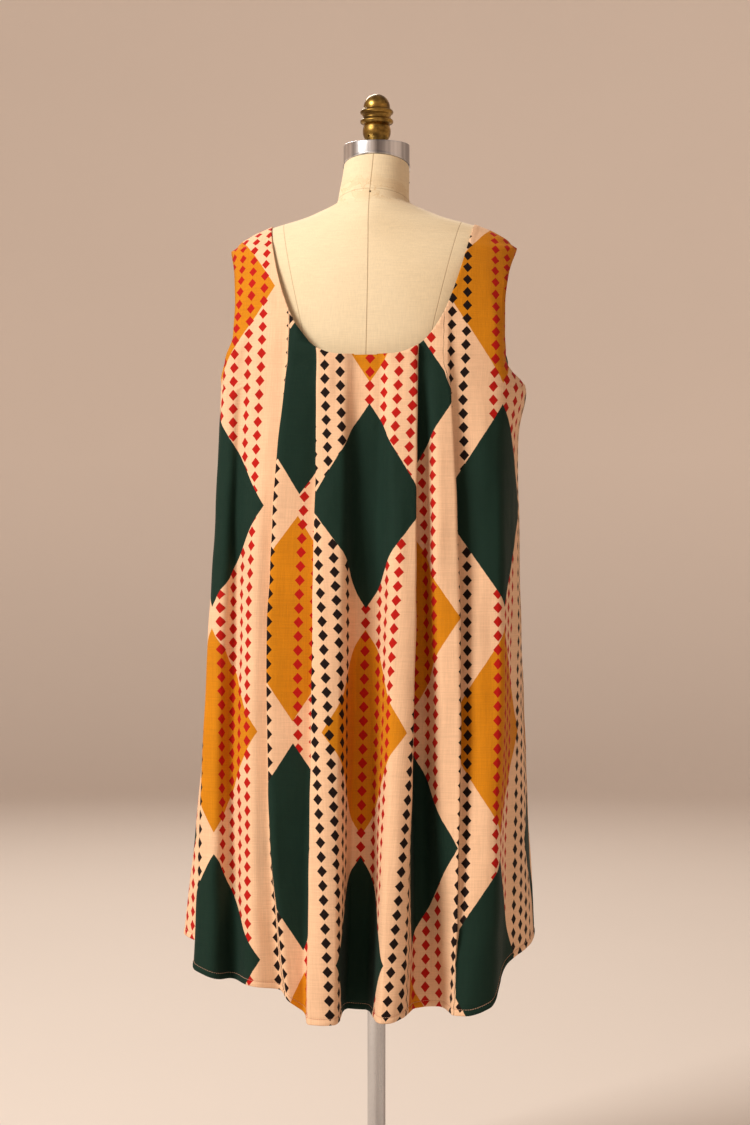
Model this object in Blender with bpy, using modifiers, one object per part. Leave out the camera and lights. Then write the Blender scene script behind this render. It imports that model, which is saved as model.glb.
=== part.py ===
"""Sleeveless back-pleated dress on a limbless dress form with a round stand.

Metres, +Z up. The pleated back of the dress faces -Y and its plain front +Y. The floor is
z = 0 and the stand's pole runs up the Z axis.
"""
import math
from collections import namedtuple

import bmesh
import bpy
import numpy as np

# Stand
BASE_RADIUS = 0.200
BASE_EDGE_HEIGHT = 0.013
BASE_EDGE_ROUND = 0.006
BASE_CROWN_RADIUS = 0.110
BASE_CROWN_HEIGHT = 0.0205
BASE_SIDES = 40
HUB_RADIUS = 0.024
HUB_TOP = 0.085
HUB_CHAMFER = 0.003
HUB_FILLET = 0.018
HUB_FILLET_TOP = 0.046
POLE_RADIUS = 0.0125
POLE_SOCKET_FLOOR = 0.012
SOCKET_PLAY = 0.0003
FORM_SOCKET_DEPTH = 0.060

# Dress form
FORM_BOTTOM = 0.700
NECK_TOP = 1.4634
TORSO_SHIFT = -0.004
NECK_CENTRE_Y = 0.004
CAP_RADIUS = 0.0458
CAP_TOP = 1.4965
CAP_SLANT = math.tan(math.radians(17))
CAP_BEVEL = 0.002
CAP_SIDES = 36
FORM_SIDES = 36
SHOULDER_HEIGHT = 1.356
NECK_BOTTOM = 1.416
POLE_SIDES = 32
FINIAL_SIDES = 24
SET_SCREW_RADIUS = 0.0016
SET_SCREW_HEIGHT = 0.0105
SET_SCREW_TURN = math.radians(-34)
SET_SCREW_SIDES = 12
SET_SCREW_FLOOR = 0.015

# Cloth
CLOTH = 0.0012
SEAM_GAP = 0.0003
SHOULDER_TUCK = 0.0002
REST_GAP = 0.0006
NECK_LEVEL = 1.190
YOKE_LEVEL = 1.280
HIP_SHARE = 0.487
LAP = 0.007
LAP_FULL_FROM = 0.14
LAP_FADE_FROM = 0.45
LAP_FADE_OVER = 0.5
UNDERARM = 1.157
UNDERARM_FLARE = 0.012
UNDERARM_FLARE_FALL = 0.040
UNDERARM_FLARE_RISE = 0.014
UNDERARM_FLARE_FROM = 0.180
ARMHOLE_TURN = 1.205
ARMHOLE_BACK = 0.084
ARMHOLE_FRONT = 0.078
ARMHOLE_EDGE_FROM = 0.100
SHOULDER_TIP = 0.198
NECKLINE_HALF_WIDTH = 0.140
NECKLINE_SHOULDER = 1.384
BACK_NECKLINE_LOW = 1.196
FRONT_NECKLINE_LOW = 1.262
NECKLINE_POWER = 3.8
NECKLINE_OVERRUN = 1.045
NECKLINE_POINTS = 39
NECKLINE_CROWDING = 0.75
NECKLINE_INSIDE = 0.115
CUTTER_REACH = 0.15

# Gaps between solids that touch
FIT_GAP = 0.0003

# Arcs of the finial's profile, from its top down, in the turning plane.
FINIAL_HEIGHT = 0.070
FINIAL_FOOT = 0.0022
FINIAL_FOOT_RADIUS = 0.0126
FinialArc = namedtuple("FinialArc", "name radius centre_r centre_z start end count")
FINIAL_ARCS = (
    FinialArc("crown", 0.0183, 0.0, 0.0517, 72, -2, 6),
    FinialArc("upper_ring", 0.0035, 0.0194, 0.0450, 60, -60, 4),
    FinialArc("groove", 0.0006, 0.0184, 0.0385, 20, -20, 2),
    FinialArc("lower_ring", 0.0036, 0.0193, 0.0320, 60, -60, 4),
    FinialArc("bulb", 0.0194, 0.0, 0.0185, 28, -44, 5),
)

FormSection = namedtuple("FormSection", "z half_width back front power")
FORM_SECTIONS = (
    FormSection(0.700, 0.164, 0.107, 0.101, 2.30),
    FormSection(0.716, 0.171, 0.114, 0.108, 2.30),
    FormSection(0.780, 0.173, 0.120, 0.112, 2.30),
    FormSection(0.860, 0.158, 0.113, 0.115, 2.25),
    FormSection(0.920, 0.133, 0.094, 0.109, 2.20),
    FormSection(0.980, 0.118, 0.080, 0.106, 2.15),
    FormSection(1.040, 0.130, 0.086, 0.114, 2.20),
    FormSection(1.100, 0.148, 0.097, 0.130, 2.30),
    FormSection(1.150, 0.160, 0.104, 0.138, 2.40),
    FormSection(1.200, 0.168, 0.107, 0.130, 2.40),
    FormSection(1.260, 0.176, 0.104, 0.106, 2.30),
    FormSection(1.310, 0.184, 0.097, 0.084, 2.05),
    FormSection(1.340, 0.190, 0.089, 0.068, 1.75),
    FormSection(1.356, 0.188, 0.084, 0.062, 1.55),
    FormSection(1.371, 0.168, 0.080, 0.057, 1.45),
    FormSection(1.383, 0.139, 0.077, 0.054, 1.45),
    FormSection(1.395, 0.097, 0.071, 0.050, 1.55),
    FormSection(1.404, 0.074, 0.065, 0.048, 1.70),
    FormSection(1.410, 0.060, 0.061, 0.047, 1.80),
    FormSection(1.416, 0.050, 0.056, 0.047, 1.90),
    FormSection(1.435, 0.0475, 0.047, 0.050, 2.00),
    FormSection(1.4634, 0.045, 0.041, 0.049, 2.00),
)
FORM_RINGS = (
    0.700, 0.706, 0.716, 0.745, 0.780, 0.825, 0.870, 0.915, 0.950, 0.985, 1.020, 1.060, 1.100,
    1.145, 1.190, 1.235, 1.275, 1.310, 1.332, 1.346, 1.356, 1.364, 1.372, 1.379, 1.386, 1.394,
    1.402, 1.409, 1.416, 1.425, 1.443, 1.4634,
)

# Where the cloth would lie if it had no pleats: it rests on the shoulders and stands off
# the form below them.
RestSection = namedtuple("RestSection", "z half_width back front")
REST_SECTIONS = (
    RestSection(1.150, 0.2120, 0.112, 0.147),
    RestSection(1.190, 0.2125, 0.113, 0.141),
    RestSection(1.230, 0.2128, 0.112, 0.128),
    RestSection(1.270, 0.2115, 0.109, 0.110),
    RestSection(1.310, 0.2070, 0.102, 0.093),
    RestSection(1.340, 0.2010, 0.094, 0.078),
    RestSection(1.356, 0.1950, 0.089, 0.070),
)

# A row for each fold line of the cloth, from the left side seam to the right one. x and y
# are given at the neckline, at the hips and at the hem, where hem_z is its height. lap
# carries a fold line over or under its neighbour, and soft is how far its bend is rounded.
Fold = namedtuple("Fold", "name neck_x neck_y hip_x hip_y hem_x hem_y hem_z lap soft")
LEFT_SEAM = Fold("left_seam", -0.206, 0.0, -0.221, 0.0, -0.257, 0.0, 0.411, 0, 1.0)
RIGHT_SEAM = Fold("right_seam", 0.198, 0.0, 0.204, 0.0, 0.221, 0.0, 0.407, 0, 1.0)
BACK_FOLDS = (
    LEFT_SEAM,
    Fold("left_side", -0.206, -0.030, -0.223, -0.034, -0.262, -0.038, 0.409, 0, 1.0),
    Fold("left_hollow", -0.202, -0.062, -0.213, -0.070, -0.217, -0.084, 0.403, 0, 0.9),
    Fold("left_turn", -0.193, -0.084, -0.216, -0.106, -0.234, -0.136, 0.381, 0, 0.7),
    Fold("left_ridge", -0.178, -0.093, -0.193, -0.122, -0.196, -0.160, 0.369, 0, 0.8),
    Fold("left_valley", -0.167, -0.094, -0.180, -0.098, -0.177, -0.118, 0.366, 0, 0.8),
    Fold("left_panel", -0.139, -0.107, -0.153, -0.145, -0.148, -0.166, 0.362, 0, 0.9),
    Fold("left_lap_under", -0.107, -0.112, -0.130, -0.138, -0.109, -0.148, 0.357, 1, 0.6),
    Fold("left_lap_edge", -0.103, -0.119, -0.126, -0.160, -0.098, -0.170, 0.345, -0.4, 0.5),
    Fold("box_left_under", -0.067, -0.119, -0.068, -0.152, -0.075, -0.160, 0.328, 1, 0.5),
    Fold("box_left_edge", -0.064, -0.127, -0.065, -0.182, -0.068, -0.206, 0.322, -0.2, 0.4),
    Fold("box_left_crest", -0.045, -0.128, -0.046, -0.190, -0.045, -0.214, 0.322, 0, 0.9),
    Fold("box_left_brow", -0.027, -0.128, -0.023, -0.186, -0.028, -0.208, 0.323, 0, 0.7),
    Fold("box_left_foot", -0.013, -0.121, -0.016, -0.138, -0.029, -0.126, 0.329, 0, 0.8),
    Fold("box_hollow", 0.007, -0.122, 0.000, -0.137, -0.011, -0.126, 0.328, 0, 1.0),
    Fold("box_right_foot", 0.022, -0.121, 0.018, -0.141, 0.007, -0.130, 0.328, 0, 0.8),
    Fold("box_right_brow", 0.033, -0.128, 0.037, -0.184, 0.023, -0.208, 0.325, 0, 0.7),
    Fold("box_right_crest", 0.052, -0.127, 0.056, -0.186, 0.041, -0.208, 0.325, 0, 0.9),
    Fold("box_right_edge", 0.068, -0.126, 0.069, -0.180, 0.056, -0.196, 0.331, 0.2, 0.45),
    Fold("box_right_under", 0.071, -0.117, 0.069, -0.134, 0.063, -0.134, 0.331, -1, 0.5),
    Fold("right_gap", 0.080, -0.117, 0.081, -0.130, 0.081, -0.124, 0.333, 0, 0.8),
    Fold("right_lap_face", 0.092, -0.119, 0.097, -0.162, 0.104, -0.130, 0.334, 0, 0.8),
    Fold("right_lap_edge", 0.110, -0.118, 0.127, -0.165, 0.118, -0.178, 0.332, 0.4, 0.5),
    Fold("right_lap_under", 0.114, -0.111, 0.131, -0.140, 0.123, -0.182, 0.332, -1, 0.6),
    Fold("right_panel", 0.144, -0.105, 0.154, -0.150, 0.145, -0.187, 0.332, 0, 1.0),
    Fold("right_fold", 0.176, -0.094, 0.183, -0.147, 0.173, -0.172, 0.344, 0, 0.6),
    Fold("right_turn", 0.194, -0.062, 0.191, -0.096, 0.182, -0.112, 0.388, 0, 0.9),
    Fold("right_side", 0.198, -0.032, 0.202, -0.045, 0.216, -0.052, 0.402, 0, 1.0),
    RIGHT_SEAM,
)
FRONT_FOLDS = (
    LEFT_SEAM,
    Fold("left_front_side", -0.208, 0.046, -0.226, 0.056, -0.258, 0.064, 0.412, 0, 1.0),
    Fold("left_front_crest", -0.186, 0.104, -0.200, 0.130, -0.216, 0.152, 0.416, 0, 1.0),
    Fold("left_front_hollow", -0.130, 0.124, -0.144, 0.128, -0.158, 0.112, 0.420, 0, 1.0),
    Fold("front_crest_a", -0.078, 0.146, -0.092, 0.178, -0.106, 0.206, 0.422, 0, 0.9),
    Fold("front_brow_a", -0.052, 0.147, -0.062, 0.172, -0.070, 0.198, 0.423, 0, 0.9),
    Fold("front_hollow_a", -0.020, 0.146, -0.026, 0.144, -0.034, 0.128, 0.425, 0, 1.0),
    Fold("front_crest_b", 0.022, 0.148, 0.020, 0.176, 0.018, 0.203, 0.424, 0, 0.9),
    Fold("front_brow_b", 0.046, 0.147, 0.050, 0.174, 0.054, 0.200, 0.424, 0, 0.9),
    Fold("front_hollow_b", 0.082, 0.140, 0.090, 0.138, 0.096, 0.122, 0.423, 0, 1.0),
    Fold("right_front_crest", 0.130, 0.129, 0.140, 0.154, 0.148, 0.184, 0.419, 0, 0.9),
    Fold("right_front_hollow", 0.178, 0.086, 0.180, 0.094, 0.184, 0.092, 0.414, 0, 1.0),
    Fold("right_front_side", 0.198, 0.040, 0.203, 0.050, 0.220, 0.056, 0.410, 0, 1.0),
    RIGHT_SEAM,
)

# How far out the armhole's edge lies, from the neckline level to the shoulder's tip.
ArmholeEdge = namedtuple("ArmholeEdge", "z back front")
ARMHOLE_EDGES = (
    ArmholeEdge(1.190, 0.186, 0.186),
    ArmholeEdge(1.225, 0.183, 0.175),
    ArmholeEdge(1.265, 0.183, 0.172),
    ArmholeEdge(1.310, 0.187, 0.180),
    ArmholeEdge(1.350, 0.197, 0.197),
)

# Rows of the cloth, as shares of the way from the neckline level down to the hem, then as
# heights up to the yoke, then as shares of the way from the yoke up over the shoulder.
SKIRT_ROWS = (1.0, 0.92, 0.79, 0.65, 0.51, 0.37, 0.24, 0.13, 0.07, 0.042, 0.033, 0.018, 0.0)
YOKE_ROWS = (1.212, 1.236, 1.258, 1.280)
STRAP_ROWS = (0.18, 0.36, 0.53, 0.68, 0.81, 0.91, 1.0)
BEND_SAMPLES = (0.16, 0.5, 0.84)

Cloth = namedtuple("Cloth", "folds side depth armhole neckline_low")
BACK = Cloth(BACK_FOLDS, -1, "back", ARMHOLE_BACK, BACK_NECKLINE_LOW)
FRONT = Cloth(FRONT_FOLDS, 1, "front", ARMHOLE_FRONT, FRONT_NECKLINE_LOW)


def smooth_column(rows, key, value):
    """Return a function that follows one column of a table with a smooth monotone curve."""
    ordered = sorted(rows, key=lambda row: getattr(row, key))
    xs = np.array([getattr(row, key) for row in ordered])
    ys = np.array([getattr(row, value) for row in ordered])
    widths = np.diff(xs)
    slopes = np.diff(ys) / widths
    tangents = np.concatenate(([slopes[0]], np.zeros(len(slopes) - 1), [slopes[-1]]))
    for index in range(1, len(slopes)):
        before, after = slopes[index - 1], slopes[index]
        if before * after > 0:
            tangents[index] = 2 * before * after / (before + after)

    def follow(x):
        index = min(max(int(np.searchsorted(xs, x)) - 1, 0), len(widths) - 1)
        width = widths[index]
        t = min(max((x - xs[index]) / width, 0.0), 1.0)
        rise = t * t * (3 - 2 * t)
        start = tangents[index] * width * t * (1 - t) ** 2
        end = tangents[index + 1] * width * t * t * (t - 1)
        return float(ys[index] + (ys[index + 1] - ys[index]) * rise + start + end)

    return follow


def smooth_step(share):
    share = min(max(share, 0.0), 1.0)
    return share * share * (3 - 2 * share)


FORM_CURVES = {
    column: smooth_column(FORM_SECTIONS, "z", column) for column in FormSection._fields[1:]
}
REST_CURVES = {
    column: smooth_column(REST_SECTIONS, "z", column) for column in RestSection._fields[1:]
}
ARMHOLE_EDGE_CURVES = {
    column: smooth_column(ARMHOLE_EDGES, "z", column) for column in ArmholeEdge._fields[1:]
}
SHOULDER_ROWS = tuple(row for row in FORM_SECTIONS if row.z >= SHOULDER_HEIGHT)
CLOTH_LIFT = REST_GAP + CLOTH / 2


def ridge(x):
    """Return the height of the cloth over the shoulder at x."""
    tip = SHOULDER_ROWS[0]
    if abs(x) > tip.half_width:
        fall = (SHOULDER_ROWS[1].z - tip.z) / (tip.half_width - SHOULDER_ROWS[1].half_width)
        return tip.z + CLOTH_LIFT - fall * (abs(x) - tip.half_width)
    low, high = tip.z, SHOULDER_ROWS[-1].z
    for _ in range(30):
        middle = (low + high) / 2
        if FORM_CURVES["half_width"](middle) > abs(x):
            low = middle
        else:
            high = middle
    return low + CLOTH_LIFT


def rest_half_width(z):
    """Return the half width of the unpleated cloth at a height."""
    tip = ridge(SHOULDER_TIP)
    if z <= tip:
        share = smooth_step((z - YOKE_LEVEL) / (tip - YOKE_LEVEL))
        return REST_CURVES["half_width"](z) * (1 - share) + SHOULDER_TIP * share
    low, high = 0.0, SHOULDER_TIP
    for _ in range(40):
        middle = (low + high) / 2
        if ridge(middle) > z:
            low = middle
        else:
            high = middle
    return (low + high) / 2


def rest_y(x, z, cloth):
    """Return the depth of the unpleated cloth at x and z."""
    tip = SHOULDER_ROWS[0].z
    share = smooth_step((z - YOKE_LEVEL) / (tip - YOKE_LEVEL))
    over_form = FORM_CURVES[cloth.depth](z - CLOTH_LIFT) + CLOTH_LIFT * 3
    depth = REST_CURVES[cloth.depth](z) * (1 - share) + over_form * share
    power = FORM_CURVES["power"](z - CLOTH_LIFT)
    inside = max(1 - (abs(x) / rest_half_width(z)) ** power, 0.0)
    return cloth.side * depth * inside ** (1 / power)


def armhole_y(z, cloth):
    """Return how far the armhole's edge lies from the side line, below its turn."""
    share = min(max((z - UNDERARM) / (ARMHOLE_TURN - UNDERARM), 0.0), 1.0)
    return cloth.armhole * math.sqrt(1 - (1 - share) ** 2)


def through_levels(neck, hip, hem, share):
    """Return the value at a share of the way down, on the curve through three levels."""
    at_neck = (share - HIP_SHARE) * (share - 1) / HIP_SHARE
    at_hip = share * (share - 1) / (HIP_SHARE * (HIP_SHARE - 1))
    at_hem = share * (share - HIP_SHARE) / (1 - HIP_SHARE)
    return neck * at_neck + hip * at_hip + hem * at_hem


def lap_share(share):
    """Return how much of the lap is folded over at a share of the way down."""
    folded = smooth_step(share / LAP_FULL_FROM)
    return folded * (1 - smooth_step((share - LAP_FADE_FROM) / LAP_FADE_OVER))


def skirt_corner(fold, share):
    """Return a fold line's point at a share of the way from the neckline level to the hem."""
    x = through_levels(fold.neck_x, fold.hip_x, fold.hem_x, share)
    x += fold.lap * LAP * lap_share(share)
    y = through_levels(fold.neck_y, fold.hip_y, fold.hem_y, share)
    z = NECK_LEVEL + (fold.hem_z - NECK_LEVEL) * share
    if fold.neck_x > UNDERARM_FLARE_FROM:
        reach = UNDERARM_FLARE_RISE if z > UNDERARM else UNDERARM_FLARE_FALL
        x += UNDERARM_FLARE * math.exp(-((z - UNDERARM) / reach) ** 2)
    return np.array((x, y, z))


def bend(before, corner, after, soft):
    """Return points round one fold line, between the middles of its two neighbours."""
    start = corner + (before - corner) * 0.5 * soft
    end = corner + (after - corner) * 0.5 * soft
    return [
        start * (1 - t) ** 2 + corner * 2 * t * (1 - t) + end * t * t for t in BEND_SAMPLES
    ]


def rounded_row(corners, softs):
    """Return the row of cloth points that passes the fold lines' corners."""
    points = [corners[0]]
    for index in range(1, len(corners) - 1):
        points.extend(bend(corners[index - 1], corners[index], corners[index + 1], softs[index]))
    points.append(corners[-1])
    return np.array(points)


def trim_end(points, cloth, keep):
    """Return the points with those past the keep index drawn back to the armhole's edge."""
    tail = points[keep:]
    limit = armhole_y(tail[-1][2], cloth)
    if limit == 0.0:
        return points
    depths = np.abs(tail[:, 1])
    lengths = np.concatenate(([0.0], np.cumsum(np.linalg.norm(np.diff(tail, axis=0), axis=1))))
    crossing = next(i for i in range(len(tail) - 1) if depths[i] >= limit > depths[i + 1])
    part = (depths[crossing] - limit) / (depths[crossing] - depths[crossing + 1])
    end = lengths[crossing] + part * (lengths[crossing + 1] - lengths[crossing])
    wanted = lengths / lengths[-1] * end
    trimmed = [np.interp(wanted, lengths, tail[:, axis]) for axis in range(3)]
    return np.concatenate((points[:keep], np.array(trimmed).T))


def trim_row(points, cloth):
    """Return a row with both ends drawn back to the armholes' edges."""
    keep = len(points) * 3 // 4
    points = trim_end(points, cloth, keep)
    return trim_end(points[::-1], cloth, keep)[::-1]


def upper_row(neck_row, climb, level, cloth):
    """Return a row above the neckline level, drawn from the row at that level.

    The row lies at the height given by level, or above it by climb, a share of the way up to
    the shoulder. The pleats' relief fades out towards the yoke.
    """
    edge_curve = ARMHOLE_EDGE_CURVES[cloth.depth]
    points = []
    for start in neck_row:
        end = abs(neck_row[0][0]) if start[0] < 0 else abs(neck_row[-1][0])
        reach = smooth_step((abs(start[0]) - ARMHOLE_EDGE_FROM) / (end - ARMHOLE_EDGE_FROM))
        tip = ARMHOLE_EDGES[-1].back
        top = ridge(max(abs(start[0]) + (tip - end) * reach, NECKLINE_INSIDE))
        z = level + (top - level) * climb
        settle = smooth_step((z - NECK_LEVEL) / (ARMHOLE_EDGES[1].z - NECK_LEVEL))
        edge = end * (1 - settle) + edge_curve(z) * settle
        x = math.copysign(abs(start[0]) + (edge - end) * reach, start[0])
        relief = start[1] - rest_y(start[0], NECK_LEVEL, cloth)
        fade = 1 - smooth_step((z - NECK_LEVEL) / (YOKE_LEVEL - NECK_LEVEL))
        y = rest_y(x, z, cloth) + relief * fade
        points.append(np.array((x, y if climb < 1 else 0.0, z)))
    return np.array(points)


def cloth_rows(cloth):
    """Return the cloth's rows of points from the hem to the shoulder seam."""
    softs = [fold.soft for fold in cloth.folds]
    rows = []
    for share in SKIRT_ROWS:
        corners = [skirt_corner(fold, share) for fold in cloth.folds]
        rows.append(trim_row(rounded_row(corners, softs), cloth))
    neck_row = rows[-1]
    for z in YOKE_ROWS:
        rows.append(upper_row(neck_row, 0.0, z, cloth))
    for share in STRAP_ROWS:
        rows.append(upper_row(neck_row, math.sin(share * math.pi / 2), YOKE_LEVEL, cloth))
    return leave_seam_gap(rows, cloth)


def leave_seam_gap(rows, cloth):
    """Return the rows with their edges drawn back by half a seam gap."""
    for row in rows:
        row[:, 1] = cloth.side * np.maximum(cloth.side * row[:, 1], SEAM_GAP / 2)
    rows[-1][:, 1] = cloth.side * (SEAM_GAP / 2 + SHOULDER_TUCK)
    return rows


def new_material(name, color, roughness, metallic=0.0):
    material = bpy.data.materials.new(name)
    material.use_nodes = True
    shader = material.node_tree.nodes["Principled BSDF"]
    shader.inputs["Base Color"].default_value = (*color, 1.0)
    shader.inputs["Roughness"].default_value = roughness
    shader.inputs["Metallic"].default_value = metallic
    material.diffuse_color = (*color, 1.0)
    return material


def add_object(name, mesh, material, collection, smooth=True):
    mesh.name = name
    for polygon in mesh.polygons:
        polygon.use_smooth = smooth
    if material is not None:
        mesh.materials.append(material)
    item = bpy.data.objects.new(name, mesh)
    collection.objects.link(item)
    return item


def add_cutter(name, mesh, collection):
    cutter = add_object(name, mesh, None, collection, smooth=False)
    cutter.hide_render = True
    cutter.display_type = "WIRE"
    return cutter


def subtract(item, cutter):
    cut = item.modifiers.new("cut " + cutter.name, "BOOLEAN")
    cut.operation = "DIFFERENCE"
    cut.solver = "EXACT"
    cut.object = cutter


def mesh_from_bmesh(shape):
    mesh = bpy.data.meshes.new("shape")
    shape.to_mesh(mesh)
    shape.free()
    return mesh


def form_mesh():
    """Return a sphere drawn out into the form's sections, ring by ring."""
    shape = bmesh.new()
    rings = len(FORM_RINGS)
    bmesh.ops.create_uvsphere(shape, u_segments=FORM_SIDES, v_segments=rings + 1, radius=1.0)
    for vertex in shape.verts:
        latitude = math.asin(min(max(vertex.co.z, -1.0), 1.0)) / math.pi + 0.5
        ring = round(latitude * (rings + 1)) - 1
        angle = math.atan2(vertex.co.y, vertex.co.x)
        is_pole = ring < 0 or ring >= rings
        z = FORM_RINGS[min(max(ring, 0), rings - 1)]
        power = FORM_CURVES["power"](z)
        depth = FORM_CURVES["front" if angle > 0 else "back"](z)
        cosine, sine = math.cos(angle), math.sin(angle)
        x = FORM_CURVES["half_width"](z) * math.copysign(abs(cosine) ** (2 / power), cosine)
        y = depth * math.copysign(abs(sine) ** (2 / power), sine)
        if is_pole:
            x, y = 0.0, NECK_CENTRE_Y if ring > 0 else 0.0
        tilt = smooth_step((z - NECK_BOTTOM) / (NECK_TOP - NECK_BOTTOM))
        vertex.co = (x - TORSO_SHIFT * tilt, y, z - (y - NECK_CENTRE_Y) * CAP_SLANT * tilt)
    return mesh_from_bmesh(shape)


def cylinder_mesh(radius, bottom, top, sides):
    shape = bmesh.new()
    bmesh.ops.create_cone(
        shape, cap_ends=True, segments=sides, radius1=radius, radius2=radius, depth=top - bottom
    )
    bmesh.ops.translate(shape, verts=shape.verts, vec=(0, 0, (top + bottom) / 2))
    return mesh_from_bmesh(shape)


def turned_object(name, profile, steps, material, collection):
    """Return a solid turned about Z from a profile that runs from its top to its bottom."""
    mesh = bpy.data.meshes.new(name)
    points = [(radius, 0.0, z) for radius, z in profile]
    mesh.from_pydata(points, [(i, i + 1) for i in range(len(points) - 1)], [])
    item = add_object(name, mesh, material, collection)
    screw = item.modifiers.new("turn", "SCREW")
    screw.angle = math.tau
    screw.steps = steps
    screw.render_steps = steps
    screw.use_merge_vertices = True
    screw.merge_threshold = 0.00005
    return item


def arc_profile(radius, centre_r, centre_z, start, end, count):
    """Return points on an arc in the turning plane, with angles in degrees from +X."""
    angles = np.radians(np.linspace(start, end, count))
    return [(centre_r + radius * math.cos(a), centre_z + radius * math.sin(a)) for a in angles]


def build_base(collection):
    iron = new_material("painted_iron", (0.035, 0.034, 0.033), 0.42)
    socket = POLE_RADIUS + SOCKET_PLAY
    edge_centre = (BASE_RADIUS - BASE_EDGE_ROUND, BASE_EDGE_HEIGHT - BASE_EDGE_ROUND)
    profile = [
        (0.0, POLE_SOCKET_FLOOR),
        (socket, POLE_SOCKET_FLOOR),
        (socket, HUB_TOP),
        (HUB_RADIUS - HUB_CHAMFER, HUB_TOP),
        (HUB_RADIUS, HUB_TOP - HUB_CHAMFER),
        *arc_profile(HUB_FILLET, HUB_RADIUS + HUB_FILLET, HUB_FILLET_TOP, 180, 260, 5),
        (BASE_CROWN_RADIUS, BASE_CROWN_HEIGHT),
        *arc_profile(BASE_EDGE_ROUND, *edge_centre, 80, 0, 4),
        (BASE_RADIUS, 0.0),
        (0.0, 0.0),
    ]
    return turned_object("stand_base", profile, BASE_SIDES, iron, collection)


def build_pole(collection):
    steel = new_material("bright_steel", (0.62, 0.62, 0.63), 0.24, 1.0)
    bottom = POLE_SOCKET_FLOOR + FIT_GAP
    top = FORM_BOTTOM + FORM_SOCKET_DEPTH - FIT_GAP
    tube = cylinder_mesh(POLE_RADIUS, bottom, top, POLE_SIDES)
    return add_object("pole", tube, steel, collection)


def build_form(collection, cutters):
    linen = new_material("linen", (0.86, 0.74, 0.52), 0.88)
    form = add_object("form_torso", form_mesh(), linen, collection)
    form.location = (TORSO_SHIFT, 0.0, 0.0)
    below, top = FORM_BOTTOM - POLE_RADIUS, FORM_BOTTOM + FORM_SOCKET_DEPTH
    socket = cylinder_mesh(POLE_RADIUS + SOCKET_PLAY, below, top, POLE_SIDES)
    subtract(form, add_cutter("pole_socket", socket, cutters))
    return form


def build_cap(collection):
    chrome = new_material("chrome", (0.78, 0.78, 0.80), 0.12, 1.0)
    mesh = cylinder_mesh(CAP_RADIUS, NECK_TOP + FIT_GAP, CAP_TOP, CAP_SIDES)
    middle = (NECK_TOP + CAP_TOP) / 2
    for vertex in mesh.vertices:
        if vertex.co.z < middle:
            vertex.co.z -= vertex.co.y * CAP_SLANT
    cap = add_object("neck_cap", mesh, chrome, collection)
    cap.location = (0.0, NECK_CENTRE_Y, 0.0)
    bevel = cap.modifiers.new("edge", "BEVEL")
    bevel.width = CAP_BEVEL
    bevel.segments = 2
    bevel.limit_method = "ANGLE"
    bevel.angle_limit = math.radians(40)
    return cap


def build_finial(collection, cutters):
    brass = new_material("brass", (0.36, 0.24, 0.08), 0.33, 1.0)
    profile = [(0.0, FINIAL_HEIGHT)]
    for arc in FINIAL_ARCS:
        profile.extend(arc_profile(*arc[1:]))
    profile.extend([(FINIAL_FOOT_RADIUS, FINIAL_FOOT), (FINIAL_FOOT_RADIUS, 0.0), (0.0, 0.0)])
    finial = turned_object("finial", profile, FINIAL_SIDES, brass, collection)
    finial.location = (0.0, NECK_CENTRE_Y, CAP_TOP + FIT_GAP)
    bore = cylinder_mesh(SET_SCREW_RADIUS, SET_SCREW_FLOOR, 2 * SET_SCREW_FLOOR, SET_SCREW_SIDES)
    hole = add_cutter("set_screw_hole", bore, cutters)
    hole.rotation_euler = (math.radians(90), 0.0, SET_SCREW_TURN)
    hole.location = (0.0, NECK_CENTRE_Y, CAP_TOP + FIT_GAP + SET_SCREW_HEIGHT)
    subtract(finial, hole)
    return finial


def neckline_cutter(name, cloth, collection):
    """Return a block with the neckline's outline, running through one side of the dress."""
    drop = NECKLINE_SHOULDER - cloth.neckline_low
    curve = bpy.data.curves.new(name, "CURVE")
    curve.dimensions = "2D"
    curve.fill_mode = "BOTH"
    curve.extrude = CUTTER_REACH
    spline = curve.splines.new("POLY")
    shares = np.linspace(-NECKLINE_OVERRUN, NECKLINE_OVERRUN, NECKLINE_POINTS)
    shares = np.sign(shares) * np.abs(shares) ** NECKLINE_CROWDING
    outline = [
        (NECKLINE_HALF_WIDTH * u, cloth.neckline_low + drop * abs(u) ** NECKLINE_POWER)
        for u in shares
    ]
    spline.points.add(len(outline) - 1)
    for point, (x, z) in zip(spline.points, outline):
        point.co = (x, z, 0.0, 1.0)
    spline.use_cyclic_u = True
    holder = bpy.data.objects.new(name + "_outline", curve)
    collection.objects.link(holder)
    mesh = bpy.data.meshes.new_from_object(holder)
    bpy.data.objects.remove(holder)
    shape = bmesh.new()
    shape.from_mesh(mesh)
    bmesh.ops.remove_doubles(shape, verts=shape.verts, dist=0.000001)
    cutter = add_cutter(name, mesh_from_bmesh(shape), collection)
    cutter.rotation_euler = (math.radians(90), 0.0, 0.0)
    cutter.location = (TORSO_SHIFT, cloth.side * CUTTER_REACH, 0.0)
    return cutter


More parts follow.
